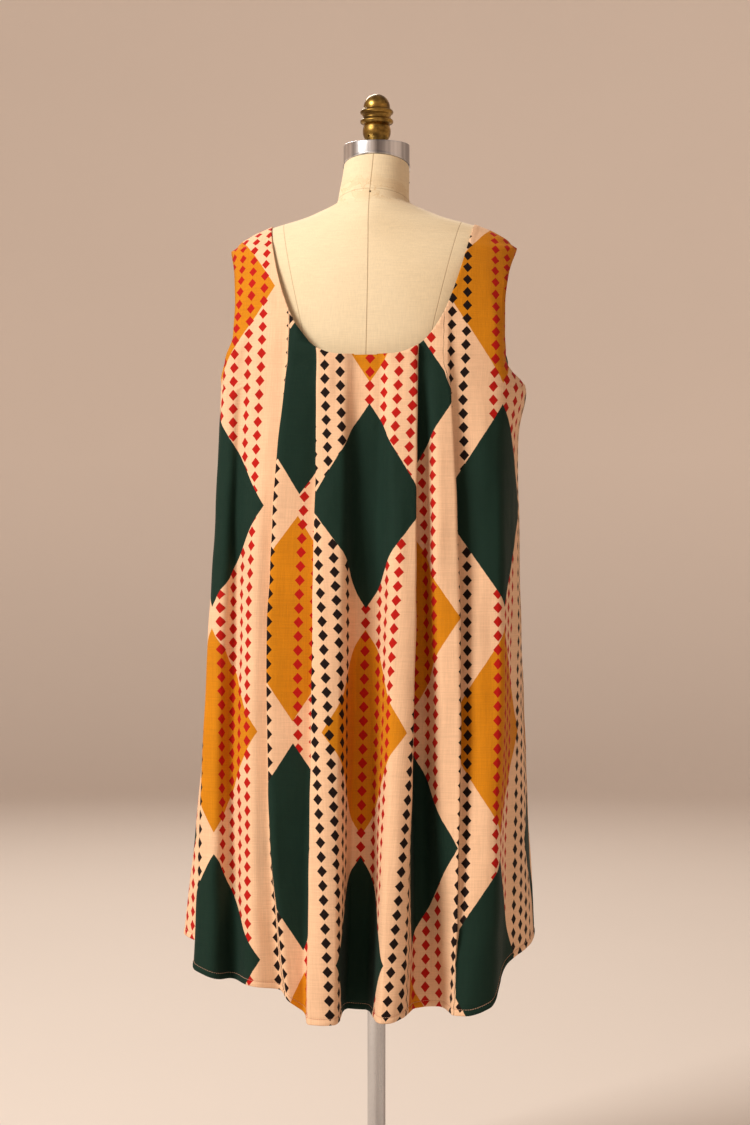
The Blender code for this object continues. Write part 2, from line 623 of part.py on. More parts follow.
def build_cloth(name, cloth, material, collection, cutters):
    """Build one side of the dress: a grid moved to the drape, thickened, with its neckline cut."""
    rows = cloth_rows(cloth)
    columns = len(rows[0])
    shape = bmesh.new()
    bmesh.ops.create_grid(shape, x_segments=columns - 1, y_segments=len(rows) - 1, size=0.5)
    for vertex in shape.verts:
        column = round((vertex.co.x + 0.5) * (columns - 1))
        row = round((vertex.co.y + 0.5) * (len(rows) - 1))
        vertex.co = rows[row][column]
    if cloth.side > 0:
        bmesh.ops.reverse_faces(shape, faces=shape.faces)
    panel = add_object(name, mesh_from_bmesh(shape), material, collection)
    panel.location = (TORSO_SHIFT, 0.0, 0.0)
    wall = panel.modifiers.new("cloth", "SOLIDIFY")
    wall.thickness = CLOTH
    wall.offset = 0.0
    wall.use_even_offset = False
    subtract(panel, neckline_cutter(name + "_neckline", cloth, cutters))
    return panel


def clear_scene():
    for item in list(bpy.data.objects):
        bpy.data.objects.remove(item)


def main():
    clear_scene()
    collection = bpy.data.collections.new("dress_on_form")
    cutters = bpy.data.collections.new("cutters")
    for group in (collection, cutters):
        bpy.context.scene.collection.children.link(group)
    build_base(collection)
    build_pole(collection)
    build_form(collection, cutters)
    build_cap(collection)
    build_finial(collection, cutters)
    cotton = new_material("printed_cotton", (0.85, 0.53, 0.36), 0.85)
    build_cloth("dress_back", BACK, cotton, collection, cutters)
    build_cloth("dress_front", FRONT, cotton, collection, cutters)


main()
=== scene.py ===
"""Looks of a sleeveless back-pleated dress on a limbless dress form.

Metres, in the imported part's frame: the pleated back faces -Y and the plain front +Y.
"""

import math
from collections import namedtuple

import bpy
import numpy as np
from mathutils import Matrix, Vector, noise


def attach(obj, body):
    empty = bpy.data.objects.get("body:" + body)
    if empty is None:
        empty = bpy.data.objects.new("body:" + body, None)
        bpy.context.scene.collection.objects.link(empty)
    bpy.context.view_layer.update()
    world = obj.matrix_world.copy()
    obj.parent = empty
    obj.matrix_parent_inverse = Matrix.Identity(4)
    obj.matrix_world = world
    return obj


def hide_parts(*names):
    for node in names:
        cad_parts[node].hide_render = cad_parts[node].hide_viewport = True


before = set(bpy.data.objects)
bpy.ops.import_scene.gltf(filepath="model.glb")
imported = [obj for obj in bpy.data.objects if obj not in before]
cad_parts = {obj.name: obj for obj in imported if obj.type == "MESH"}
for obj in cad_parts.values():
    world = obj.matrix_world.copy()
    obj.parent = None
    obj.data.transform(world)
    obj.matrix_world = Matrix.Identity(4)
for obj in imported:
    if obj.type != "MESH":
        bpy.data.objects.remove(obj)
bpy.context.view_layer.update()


def table(columns, rows):
    """Return a table's rows with its columns named."""
    kind = namedtuple("Row", columns)
    return tuple(kind(*row) for row in rows)


# Stand
BASE_RADIUS = 0.200
BASE_EDGE_HEIGHT = 0.013
BASE_EDGE_ROUND = 0.006
BASE_CROWN_RADIUS = 0.110
BASE_CROWN_HEIGHT = 0.0205
BASE_CROWN_ROUND = 0.020
HUB_RADIUS = 0.024
HUB_TOP = 0.085
HUB_CHAMFER = 0.003
HUB_FILLET = 0.018
HUB_FILLET_TOP = 0.046
HUB_LIP = 0.0010
POLE_RADIUS = 0.0125
POLE_SOCKET_FLOOR = 0.012
SOCKET_PLAY = 0.0003
FORM_SOCKET_DEPTH = 0.060
EDGE_BREAK = 0.0008
BASE_SIDES = 160
POLE_SIDES = 96

# Form. Its first point lies just past the side seam.
FORM_BOTTOM = 0.700
FORM_SIDES = 168
FORM_START = -math.pi + 1e-4
NECK_TOP = 1.4634
TORSO_SHIFT = -0.004
NECK_CENTRE_Y = 0.004
NECK_BOTTOM = 1.416
SHOULDER_HEIGHT = 1.356
CAP_RADIUS = 0.0458
CAP_SIDES = 144
CAP_TOP = 1.4965
CAP_ROUND = 0.0022
CAP_BAND_TOP = 0.006
CAP_SLANT = math.tan(math.radians(17))
CAP_SLANT_FROM = 0.0060
CAP_SLANT_BLEND = 0.0006
FIT_GAP = 0.0003
FORM_ROWS = table("bottom top count", (
    (0.700, 0.716, 6),
    (0.722, 1.330, 92),
    (1.335, NECK_TOP, 58),
))

# The cap's crown from its middle out, and its rolled lip from the band down. out is measured
# from the band, and up from the cap's top or its lower edge.
CAP_CROWN = table("out up", ((-0.0180, 0.0), (-0.0060, -0.0001)))
CAP_LIP = table("out up", (
    (0.0, 0.0050),
    (-0.0001, 0.0034),
    (0.0006, 0.0026),
    (0.0009, 0.0014),
    (0.0005, 0.0003),
    (-0.0010, 0.0),
))

# Cloth
CAD_CLOTH = 0.0012
REST_GAP = 0.0006
CLOTH_LIFT = REST_GAP + CAD_CLOTH / 2
SHOULDER_LIFT = CLOTH_LIFT * 3
CLOTH = 0.0008
HEM_CLOTH = 0.0017
NECK_LEVEL = 1.190
YOKE_LEVEL = 1.280
HIP_SHARE = 0.487
LAP = 0.007
LAP_FULL_FROM = 0.14
LAP_FADE_FROM = 0.45
LAP_FADE_OVER = 0.5
UNDERARM = 1.157
UNDERARM_FLARE = 0.012
UNDERARM_FLARE_FALL = 0.040
UNDERARM_FLARE_RISE = 0.014
UNDERARM_FLARE_FROM = 0.180
ARMHOLE_TURN = 1.205
ARMHOLE_BACK = 0.084
ARMHOLE_FRONT = 0.078
ARMHOLE_EDGE_FROM = 0.100
SHOULDER_TIP = 0.198
NECKLINE_HALF_WIDTH = 0.140
NECKLINE_SHOULDER = 1.384
BACK_NECKLINE_LOW = 1.196
FRONT_NECKLINE_LOW = 1.262
NECKLINE_POWER = 3.8
NECKLINE_INSIDE = 0.115
NECKLINE_SNAP = 0.0004
JUST_BELOW = -1e-9
TINY_AREA = 1e-12
HEM_DEPTH = 0.0075
EDGE_TURN = 0.007

FORM_SECTIONS = table("z half_width back front power", (
    (0.700, 0.164, 0.107, 0.101, 2.30),
    (0.716, 0.171, 0.114, 0.108, 2.30),
    (0.780, 0.173, 0.120, 0.112, 2.30),
    (0.860, 0.158, 0.113, 0.115, 2.25),
    (0.920, 0.133, 0.094, 0.109, 2.20),
    (0.980, 0.118, 0.080, 0.106, 2.15),
    (1.040, 0.130, 0.086, 0.114, 2.20),
    (1.100, 0.148, 0.097, 0.130, 2.30),
    (1.150, 0.160, 0.104, 0.138, 2.40),
    (1.200, 0.168, 0.107, 0.130, 2.40),
    (1.260, 0.176, 0.104, 0.106, 2.30),
    (1.310, 0.184, 0.097, 0.084, 2.05),
    (1.340, 0.190, 0.089, 0.068, 1.75),
    (1.356, 0.188, 0.084, 0.062, 1.55),
    (1.371, 0.168, 0.080, 0.057, 1.45),
    (1.383, 0.139, 0.077, 0.054, 1.45),
    (1.395, 0.097, 0.071, 0.050, 1.55),
    (1.404, 0.074, 0.065, 0.048, 1.70),
    (1.410, 0.060, 0.061, 0.047, 1.80),
    (1.416, 0.050, 0.056, 0.047, 1.90),
    (1.435, 0.0475, 0.047, 0.050, 2.00),
    (1.4634, 0.045, 0.041, 0.049, 2.00),
))

# Where the cloth would lie if it had no pleats: it rests on the shoulders and stands off
# the form below them.
REST_SECTIONS = table("z half_width back front", (
    (1.150, 0.2120, 0.112, 0.147),
    (1.190, 0.2125, 0.113, 0.141),
    (1.230, 0.2128, 0.112, 0.128),
    (1.270, 0.2115, 0.109, 0.110),
    (1.310, 0.2070, 0.102, 0.093),
    (1.340, 0.2010, 0.094, 0.078),
    (1.356, 0.1950, 0.089, 0.070),
))

# A row for each fold line of the cloth, from the left side seam to the right one. x and y
# are given at the neckline, at the hips and at the hem, where hem_z is its height. lap
# carries a fold line over or under its neighbour, and soft is how far its bend is rounded.
FOLD_COLUMNS = "name neck_x neck_y hip_x hip_y hem_x hem_y hem_z lap soft"
LEFT_SEAM = ("left_seam", -0.206, 0.0, -0.221, 0.0, -0.257, 0.0, 0.411, 0, 1.0)
RIGHT_SEAM = ("right_seam", 0.198, 0.0, 0.204, 0.0, 0.221, 0.0, 0.407, 0, 1.0)
BACK_FOLDS = table(FOLD_COLUMNS, (
    LEFT_SEAM,
    ("left_side", -0.206, -0.030, -0.223, -0.034, -0.262, -0.038, 0.409, 0, 1.0),
    ("left_hollow", -0.202, -0.062, -0.213, -0.070, -0.217, -0.084, 0.403, 0, 0.9),
    ("left_turn", -0.193, -0.084, -0.216, -0.106, -0.234, -0.136, 0.381, 0, 0.7),
    ("left_ridge", -0.178, -0.093, -0.193, -0.122, -0.196, -0.160, 0.369, 0, 0.8),
    ("left_valley", -0.167, -0.094, -0.180, -0.098, -0.177, -0.118, 0.366, 0, 0.8),
    ("left_panel", -0.139, -0.107, -0.153, -0.145, -0.148, -0.166, 0.362, 0, 0.9),
    ("left_lap_under", -0.107, -0.112, -0.130, -0.138, -0.109, -0.148, 0.357, 1, 0.6),
    ("left_lap_edge", -0.103, -0.119, -0.126, -0.160, -0.098, -0.170, 0.345, -0.4, 0.5),
    ("box_left_under", -0.067, -0.119, -0.068, -0.152, -0.075, -0.160, 0.328, 1, 0.5),
    ("box_left_edge", -0.064, -0.127, -0.065, -0.182, -0.068, -0.206, 0.322, -0.2, 0.4),
    ("box_left_crest", -0.045, -0.128, -0.046, -0.190, -0.045, -0.214, 0.322, 0, 0.9),
    ("box_left_brow", -0.027, -0.128, -0.023, -0.186, -0.028, -0.208, 0.323, 0, 0.7),
    ("box_left_foot", -0.013, -0.121, -0.016, -0.138, -0.029, -0.126, 0.329, 0, 0.8),
    ("box_hollow", 0.007, -0.122, 0.000, -0.137, -0.011, -0.126, 0.328, 0, 1.0),
    ("box_right_foot", 0.022, -0.121, 0.018, -0.141, 0.007, -0.130, 0.328, 0, 0.8),
    ("box_right_brow", 0.033, -0.128, 0.037, -0.184, 0.023, -0.208, 0.325, 0, 0.7),
    ("box_right_crest", 0.052, -0.127, 0.056, -0.186, 0.041, -0.208, 0.325, 0, 0.9),
    ("box_right_edge", 0.068, -0.126, 0.069, -0.180, 0.056, -0.196, 0.331, 0.2, 0.45),
    ("box_right_under", 0.071, -0.117, 0.069, -0.134, 0.063, -0.134, 0.331, -1, 0.5),
    ("right_gap", 0.080, -0.117, 0.081, -0.130, 0.081, -0.124, 0.333, 0, 0.8),
    ("right_lap_face", 0.092, -0.119, 0.097, -0.162, 0.104, -0.130, 0.334, 0, 0.8),
    ("right_lap_edge", 0.110, -0.118, 0.127, -0.165, 0.118, -0.178, 0.332, 0.4, 0.5),
    ("right_lap_under", 0.114, -0.111, 0.131, -0.140, 0.123, -0.182, 0.332, -1, 0.6),
    ("right_panel", 0.144, -0.105, 0.154, -0.150, 0.145, -0.187, 0.332, 0, 1.0),
    ("right_fold", 0.176, -0.094, 0.183, -0.147, 0.173, -0.172, 0.344, 0, 0.6),
    ("right_turn", 0.194, -0.062, 0.191, -0.096, 0.182, -0.112, 0.388, 0, 0.9),
    ("right_side", 0.198, -0.032, 0.202, -0.045, 0.216, -0.052, 0.402, 0, 1.0),
    RIGHT_SEAM,
))
FRONT_FOLDS = table(FOLD_COLUMNS, (
    LEFT_SEAM,
    ("left_front_side", -0.208, 0.046, -0.226, 0.056, -0.258, 0.064, 0.412, 0, 1.0),
    ("left_front_crest", -0.186, 0.104, -0.200, 0.130, -0.216, 0.152, 0.416, 0, 1.0),
    ("left_front_hollow", -0.130, 0.124, -0.144, 0.128, -0.158, 0.112, 0.420, 0, 1.0),
    ("front_crest_a", -0.078, 0.146, -0.092, 0.178, -0.106, 0.206, 0.422, 0, 0.9),
    ("front_brow_a", -0.052, 0.147, -0.062, 0.172, -0.070, 0.198, 0.423, 0, 0.9),
    ("front_hollow_a", -0.020, 0.146, -0.026, 0.144, -0.034, 0.128, 0.425, 0, 1.0),
    ("front_crest_b", 0.022, 0.148, 0.020, 0.176, 0.018, 0.203, 0.424, 0, 0.9),
    ("front_brow_b", 0.046, 0.147, 0.050, 0.174, 0.054, 0.200, 0.424, 0, 0.9),
    ("front_hollow_b", 0.082, 0.140, 0.090, 0.138, 0.096, 0.122, 0.423, 0, 1.0),
    ("right_front_crest", 0.130, 0.129, 0.140, 0.154, 0.148, 0.184, 0.419, 0, 0.9),
    ("right_front_hollow", 0.178, 0.086, 0.180, 0.094, 0.184, 0.092, 0.414, 0, 1.0),
    ("right_front_side", 0.198, 0.040, 0.203, 0.050, 0.220, 0.056, 0.410, 0, 1.0),
    RIGHT_SEAM,
))

# How far out the armhole's edge lies, from the neckline level to the shoulder's tip.
ARMHOLE_EDGES = table("z back front", (
    (1.190, 0.186, 0.186),
    (1.225, 0.183, 0.175),
    (1.265, 0.183, 0.172),
    (1.310, 0.187, 0.180),
    (1.350, 0.197, 0.197),
))

# Rows of the cloth: shares of the way from the neckline level down to the hem, heights up to
# the yoke, and shares of the way from the yoke up over the shoulder.
HEM_ROWS = (1.0, 0.9985, 0.9965, 0.994, 0.9918, 0.9906, 0.9894, 0.987, 0.983, 0.977, 0.970)
STITCH_ROW = HEM_ROWS.index(0.9906)
SKIRT_ROWS = (*HEM_ROWS, *np.linspace(0.962, 0.0, 104))
YOKE_ROWS = tuple(np.linspace(NECK_LEVEL, YOKE_LEVEL, 15)[1:])
STRAP_ROWS = tuple(np.linspace(0.0, 1.0, 31)[1:])
BEND_SAMPLES = (0.03, 0.14, 0.26, 0.38, 0.5, 0.62, 0.74, 0.86, 0.97)

# The cloth's height over the shoulders is found at this many places between two distances out.
RIDGE_SPAN = (0.05, 0.24)
RIDGE_COUNT = 500
HALVINGS = 30

# Pleats: the print jumps by what is folded away between the two named fold lines.
BACK_BREAKS = table("before after", (
    ("left_lap_under", "left_lap_edge"),
    ("box_left_under", "box_left_edge"),
    ("box_right_edge", "box_right_under"),
    ("right_lap_edge", "right_lap_under"),
))
BACK_ANCHORS = ("left_panel", "left_lap_edge", "box_hollow", "right_lap_face", "right_panel")
FOLDED_AWAY = 0.038

# Small creases pressed and worn into the cloth. x and z are the crease's middle, lean is in
# degrees from upright, and depth is how far it stands out. A trough lies beside each.
CREASE_COLUMNS = "x z length lean depth width"
BACK_CREASES = table(CREASE_COLUMNS, (
    (-0.172, 1.300, 0.055, 62, 0.0009, 0.006),
    (-0.160, 1.286, 0.070, 38, 0.0011, 0.007),
    (-0.176, 1.262, 0.060, 14, 0.0010, 0.007),
    (0.176, 1.290, 0.050, -52, 0.0009, 0.006),
    (0.168, 1.262, 0.085, -18, 0.0012, 0.008),
    (-0.188, 1.150, 0.170, 4, 0.0022, 0.011),
    (-0.160, 1.110, 0.260, 3, 0.0024, 0.012),
    (-0.143, 0.930, 0.230, 2, 0.0018, 0.010),
    (-0.196, 0.870, 0.300, 3, 0.0024, 0.013),
    (-0.172, 0.640, 0.330, 5, 0.0026, 0.013),
    (-0.118, 0.560, 0.240, 3, 0.0021, 0.011),
    (-0.084, 1.060, 0.280, 1, 0.0017, 0.009),
    (-0.086, 0.720, 0.360, 2, 0.0022, 0.010),
    (-0.030, 1.090, 0.170, -1, 0.0014, 0.008),
    (-0.054, 0.880, 0.240, 1, 0.0012, 0.007),
    (-0.002, 0.720, 0.260, 1, 0.0016, 0.008),
    (0.012, 1.130, 0.120, 1, 0.0015, 0.008),
    (0.004, 0.480, 0.220, -2, 0.0016, 0.008),
    (0.050, 0.940, 0.200, -1, 0.0013, 0.007),
    (0.048, 0.560, 0.240, -1, 0.0014, 0.008),
    (0.058, 0.400, 0.100, 9, 0.0010, 0.006),
    (0.098, 0.960, 0.240, 1, 0.0016, 0.008),
    (0.104, 0.620, 0.260, -1, 0.0020, 0.009),
    (0.158, 1.060, 0.220, -3, 0.0020, 0.011),
    (0.150, 0.800, 0.280, -2, 0.0022, 0.012),
    (0.167, 0.560, 0.260, -3, 0.0024, 0.012),
    (0.183, 1.180, 0.090, -10, 0.0018, 0.009),
    (0.118, 0.430, 0.120, 24, 0.0012, 0.007),
    (-0.146, 0.450, 0.140, -18, 0.0013, 0.008),
    (-0.200, 0.520, 0.110, 12, 0.0013, 0.008),
    (0.062, 1.190, 0.060, 9, 0.0012, 0.006),
    (-0.047, 1.165, 0.070, -6, 0.0012, 0.006),
))
FRONT_CREASES = table(CREASE_COLUMNS, (
    (-0.166, 1.300, 0.060, 56, 0.0010, 0.006),
    (-0.158, 1.272, 0.080, 34, 0.0012, 0.007),
    (0.170, 1.296, 0.052, -48, 0.0010, 0.006),
    (0.164, 1.262, 0.075, -26, 0.0012, 0.008),
    (-0.120, 1.216, 0.120, 46, 0.0015, 0.010),
    (0.112, 1.210, 0.100, -42, 0.0014, 0.010),
    (-0.168, 1.130, 0.150, 16, 0.0020, 0.011),
    (0.160, 1.120, 0.130, -14, 0.0019, 0.011),
    (-0.104, 1.010, 0.260, 4, 0.0022, 0.012),
    (-0.046, 0.960, 0.330, 2, 0.0020, 0.012),
    (0.008, 1.040, 0.240, -2, 0.0018, 0.011),
    (0.062, 0.930, 0.300, -3, 0.0022, 0.012),
    (0.118, 0.990, 0.220, -4, 0.0021, 0.012),
    (-0.178, 0.840, 0.310, 4, 0.0024, 0.013),
    (0.166, 0.800, 0.270, -5, 0.0023, 0.013),
    (-0.128, 0.680, 0.300, 3, 0.0026, 0.013),
    (-0.058, 0.610, 0.260, 2, 0.0024, 0.012),
    (0.014, 0.660, 0.330, -1, 0.0026, 0.013),
    (0.078, 0.590, 0.250, -3, 0.0024, 0.012),
    (0.134, 0.630, 0.280, -4, 0.0026, 0.013),
    (-0.160, 0.520, 0.120, 22, 0.0014, 0.008),
    (0.100, 0.500, 0.100, -26, 0.0013, 0.008),
    (-0.012, 0.490, 0.130, 14, 0.0014, 0.008),
))
TROUGH_SHARE = 0.6
TROUGH_AWAY = 1.6

# Crumple of the cloth, drawn out across and up, and its pucker near the hem
Crumple = namedtuple("Crumple", "depth across up seed")
CRUMPLES = (Crumple(0.0015, 0.050, 0.170, 3.7), Crumple(0.0009, 0.021, 0.052, 11.3))
PUCKER = Crumple(0.00045, 0.0065, 0.020, 5.1)
PUCKER_REACH = 0.016

# Where the relief fades: towards the sides, on the straps and over the shoulders
END_FADE = 0.020
STRAP_FROM = 1.250
STRAP_OVER = 0.050
STRAP_SHARE = 0.7
SHOULDER_FROM = 1.335
SHOULDER_OVER = 0.030

# Hem, side seams and turned edges
HEM_RISE = 0.00020
HEM_RISE_BLEND = 0.002
STITCH_SINK = 0.00055
STITCH_SINK_WIDTH = 0.0014
SEAM_SINK = 0.0008
SEAM_SINK_WIDTH = 0.0028
SEAM_BLEND = 0.010
EDGE_BLEND = 0.002
HEM_BLEND = 0.0012
UNDERARM_BLEND = 0.004

# Hem stitches. A ring lies at a share of half the length and has a share of the radius.
STITCH_PITCH = 0.0031
STITCH_LENGTH = 0.0024
STITCH_RADIUS = 0.00026
STITCH_MARGIN = 0.0025
STITCH_SIDES = 6
STITCH_RINGS = table("along size lift", (
    (-1.0, 0.4, -0.0003), (-0.6, 1.0, 0.0), (0.6, 1.0, 0.0), (1.0, 0.4, -0.0003),
))

# Print: a stripe is some inked columns of small diamonds and a bare one
PRINT_RISE = 0.045
PRINT_WOBBLE = 0.0012
PRINT_WOBBLE_STRETCH = (160.0,) * 3
SMALL_CELL = (0.0205, 0.0185)
SMALL_DIAMOND = (0.0068, 0.0078)
SMALL_EDGE = 18.0
LARGE_CELL = (0.212, 0.300)
LARGE_DIAMOND = (0.092, 0.136)
LARGE_EDGE = 260.0
STRIPE_COLUMNS = 5
INKED_COLUMNS = 4
PEACH = (0.79, 0.50, 0.31)
RED = (0.43, 0.006, 0.003)
BROWN = (0.009, 0.003, 0.002)
MUSTARD = (0.57, 0.20, 0.003)
GREEN = (0.006, 0.023, 0.015)
REVERSE = (0.86, 0.70, 0.58)
REVERSE_SHARE = 0.62

# Cotton and thread. A stretch is the texture's waves a metre on each axis.
COTTON_THREADS = ((1500.0, 70.0, 1.0), (70.0, 1500.0, 1.0))
COTTON_SLUBS = ((640.0, 18.0, 1.0), (15.0, 590.0, 1.0))
COTTON_WEAR = (14.0, 9.0, 1.0)
COTTON_CRUMPLE = (34.0, 22.0, 1.0)
CRUMPLE_SHARE = 3.4
SLUB_SHARE = 0.6
COTTON_RELIEF = 0.00055
THREAD = (0.70, 0.40, 0.26)
THREAD_DARK = (0.504, 0.288, 0.1872)
THREAD_TWIST = (900.0, 900.0, 2500.0)

# Linen cover: each seam ends at a height and has its own strength
LINEN = (0.78, 0.64, 0.43)
LINEN_SHADE = (0.72, 0.56, 0.34)
SEAM_SHADE = (0.34, 0.21, 0.10)
STAIN = (0.56, 0.33, 0.12)
LINEN_THREADS = ((900.0, 900.0, 45.0), (60.0, 60.0, 1100.0))
LINEN_PATCHES = (11.0, 11.0, 9.0)
LINEN_RELIEF = 0.0006
STAIN_STRETCH = (42.0, 42.0, 60.0)
STAIN_STRENGTH = 0.45
SEAM_STRENGTH = 0.72
SEAM_LINE = (0.0002, 0.0008)
SEAM_WANDER = 0.0008
SEAM_WAVES = 23
NECK_SEAM_BACK = 1.4275
NECK_SEAM_FALL = 0.27
STAIN_REACH = (0.012, 0.026)
FORM_SEAMS = table("name top strength", (
    ("middle_seam", 2.0, 1.0),
    ("princess_seam", 1.392, 0.7),
    ("side_seam", 1.418, 0.7),
    ("neck_seam", 2.0, 0.6),
))
PRINCESS = table("z x", (
    (0.700, 0.098),
    (0.860, 0.083),
    (0.980, 0.062),
    (1.120, 0.074),
    (1.240, 0.089),
    (1.384, 0.122),
))

# Tacks in the form's neck, with their angles round it from +X
PINS = table("z angle", ((1.4230, -90.6), (1.444, 176), (1.444, 4), (1.424, 90)))
PIN_RADIUS = 0.0020
PIN_RISE = 0.0006
PIN_FOOT_SHARE = 0.8
PIN_PROBE_TURN = 2
PIN_PROBE_RISE = 0.004
PIN_SIDES = 20

# Finial, from its top down
FINIAL_HEIGHT = 0.070
FINIAL_FOOT = 0.0126
FINIAL_SIDES = 96
FINIAL_SHARP = 45
FINIAL_ARCS = table("name radius centre_r centre_z start end count", (
    ("crown", 0.0183, 0.0, 0.0517, 86, -2, 22),
    ("raised_line", 0.0010, 0.0180, 0.0500, 50, -60, 5),
    ("upper_ring", 0.0035, 0.0194, 0.0450, 75, -75, 12),
    ("groove", 0.0006, 0.0184, 0.0385, 20, -20, 3),
    ("lower_ring", 0.0036, 0.0193, 0.0320, 75, -75, 12),
    ("bulb", 0.0194, 0.0, 0.0185, 28, -44, 18),
    ("foot", 0.0016, 0.0116, 0.0016, 60, -20, 5),
))
SET_SCREW_RADIUS = 0.0016
SET_SCREW_SIDES = 24
SET_SCREW_HEIGHT = 0.0105
SET_SCREW_DEPTH = 0.014
SET_SCREW_REACH = 0.022
SET_SCREW_TURN = math.radians(-34)

# Metals and paint
METALS = table("name color dark roughness stretch amount", (
    ("aged_brass", (0.42, 0.26, 0.065), (0.075, 0.038, 0.010), 0.24, (60.0, 60.0, 90.0), 0.85),
    ("tarnished_brass", (0.14, 0.085, 0.030), (0.03, 0.018, 0.008), 0.36, (300.0,) * 3, 0.8),
    ("drawn_steel", (0.62, 0.62, 0.63), (0.34, 0.34, 0.35), 0.20, (30.0, 30.0, 2.0), 0.5),
))
METAL_SPECKS = (420.0,) * 3
METAL_RELIEF = 0.00005
WORN_ROUGHER = 1.7
# The cap's colour swings between a dark and a bright tone of painted reflection, in broad bands
# round it, with a small share of the narrow streaks of its turning.
CHROME_REFLECTION_BAND_WAVES = 1.7
CHROME_NARROW = 26.0
CHROME_NARROW_SHARE = 0.06
CHROME = (0.72, 0.72, 0.74)
CHROME_PAINTED_DARK_REFLECTION = (0.20, 0.19, 0.20)
CHROME_PAINTED_BRIGHT_REFLECTION = (0.95, 0.95, 0.97)
PAINT_CAST = (150.0,) * 3
PAINT_WEAR = (28.0,) * 3
PAINT_RELIEF = 0.0002
PAINT_MEAN = (0.035, 0.034, 0.033)
PAINT = (0.032, 0.031, 0.030)
PAINT_WORN = (0.085, 0.080, 0.075)

# Studio
# The floor's tone is painted darker and the wall's paler: painted shade and painted light that
# even out the lamps, which light the floor more than the wall.
FLOOR = (0.76, 0.68, 0.62)
WALL = (0.95, 0.85, 0.77)
WALL_CLOUD = (0.93, 0.93, 0.93)
WALL_CLOUD_STRETCH = (0.5, 0.5, 0.7)
WALL_FROM = 1.4
FLOOR_RADIUS = 2.0
FLOOR_DROP = 0.0005
BACKDROP_RADIUS = 7.6
BACKDROP_BEND = 1.6
BACKDROP_TOP = 6.5
BACKDROP_SIDES = 96
WINDOWS = table("name x y z power", (
    ("back_window", -3.3, -2.9, 3.9, 197),
    ("front_window", -1.3, 4.3, 4.3, 74),
))
WINDOW_TARGET = (0.0, 0.0, 0.9)
WINDOW_SIZE = (1.8, 1.6)
WINDOW_COLOR = (1.0, 0.97, 0.90)
WINDOW_SPREAD = math.radians(150)
AIR_COLOR = (1.0, 0.80, 0.68)
AIR_STRENGTH = 0.42

# Camera: its focal length and shift are in the photograph's pixels
CAMERA_TURN = math.radians(5)
CAMERA_AWAY = 3.2
CAMERA_HEIGHT = 0.92
PHOTO_HEIGHT = 1125
FOCAL_LENGTH = 2319
SIDE_SHIFT = -1.5
SENSOR = 36

Cloth = namedtuple("Cloth", "name folds side depth armhole neckline_low breaks anchors creases")
BACK = Cloth(
    "back", BACK_FOLDS, -1, "back", ARMHOLE_BACK, BACK_NECKLINE_LOW, BACK_BREAKS, BACK_ANCHORS,
    BACK_CREASES,
)
FRONT = Cloth(
    "front", FRONT_FOLDS, 1, "front", ARMHOLE_FRONT, FRONT_NECKLINE_LOW, (), ("front_hollow_a",),
    FRONT_CREASES,
)


def smooth_step(share):
    """Return a share, or an array of them, clipped to 0 and 1 and eased at both ends."""
    clipped = np.clip(share, 0.0, 1.0)
    return clipped * clipped * (3 - 2 * clipped)


def smooth_column(rows, column):
    """Return a function that follows one column over the height with a monotone curve."""
    xs = np.array([row.z for row in rows])
    ys = np.array([getattr(row, column) for row in rows])
    widths = np.diff(xs)
    slopes = np.diff(ys) / widths
    tangents = np.concatenate(([slopes[0]], np.zeros(len(slopes) - 1), [slopes[-1]]))
    for index in range(1, len(slopes)):
        before, after = slopes[index - 1], slopes[index]
        if before * after > 0:
            tangents[index] = 2 * before * after / (before + after)

    def follow(x):
        index = min(max(int(np.searchsorted(xs, x)) - 1, 0), len(widths) - 1)
        width = widths[index]
        t = min(max((x - xs[index]) / width, 0.0), 1.0)
        rise = t * t * (3 - 2 * t)
        start = tangents[index] * width * t * (1 - t) ** 2
        end = tangents[index + 1] * width * t * t * (t - 1)
        return float(ys[index] + (ys[index + 1] - ys[index]) * rise + start + end)

    return follow


def curves(rows):
    """Return a curve over the height for each of a table's other columns."""
    return {column: smooth_column(rows, column) for column in rows[0]._fields[1:]}


FORM_CURVES = curves(FORM_SECTIONS)
REST_CURVES = curves(REST_SECTIONS)
ARMHOLE_EDGE_CURVES = curves(ARMHOLE_EDGES)
SHOULDER_ROWS = tuple(row for row in FORM_SECTIONS if row.z >= SHOULDER_HEIGHT)


def ridge_height(x):
    """Return the height of the cloth over the shoulder at x, by halving."""
    tip, inner = SHOULDER_ROWS[:2]
    if abs(x) > tip.half_width:
        fall = (inner.z - tip.z) / (tip.half_width - inner.half_width)
        return tip.z + CLOTH_LIFT - fall * (abs(x) - tip.half_width)
    low, high = tip.z, SHOULDER_ROWS[-1].z
    for _ in range(HALVINGS):
        middle = (low + high) / 2
        if FORM_CURVES["half_width"](middle) > abs(x):
            low = middle
        else:
            high = middle
    return low + CLOTH_LIFT


RIDGE_X = np.linspace(*RIDGE_SPAN, RIDGE_COUNT)
RIDGE_Z = np.array([ridge_height(x) for x in RIDGE_X])


def ridge(x):
    return float(np.interp(abs(x), RIDGE_X, RIDGE_Z))


def above_yoke(z, top):
    """Return the eased share of the way from the yoke up to a height."""
    return smooth_step((z - YOKE_LEVEL) / (top - YOKE_LEVEL))


def rest_half_width(z):
    """Return the half width of the unpleated cloth at a height."""
    tip = ridge(SHOULDER_TIP)
    if z <= tip:
        share = above_yoke(z, tip)
        return REST_CURVES["half_width"](z) * (1 - share) + SHOULDER_TIP * share
    return float(np.interp(z, RIDGE_Z[::-1], RIDGE_X[::-1]))


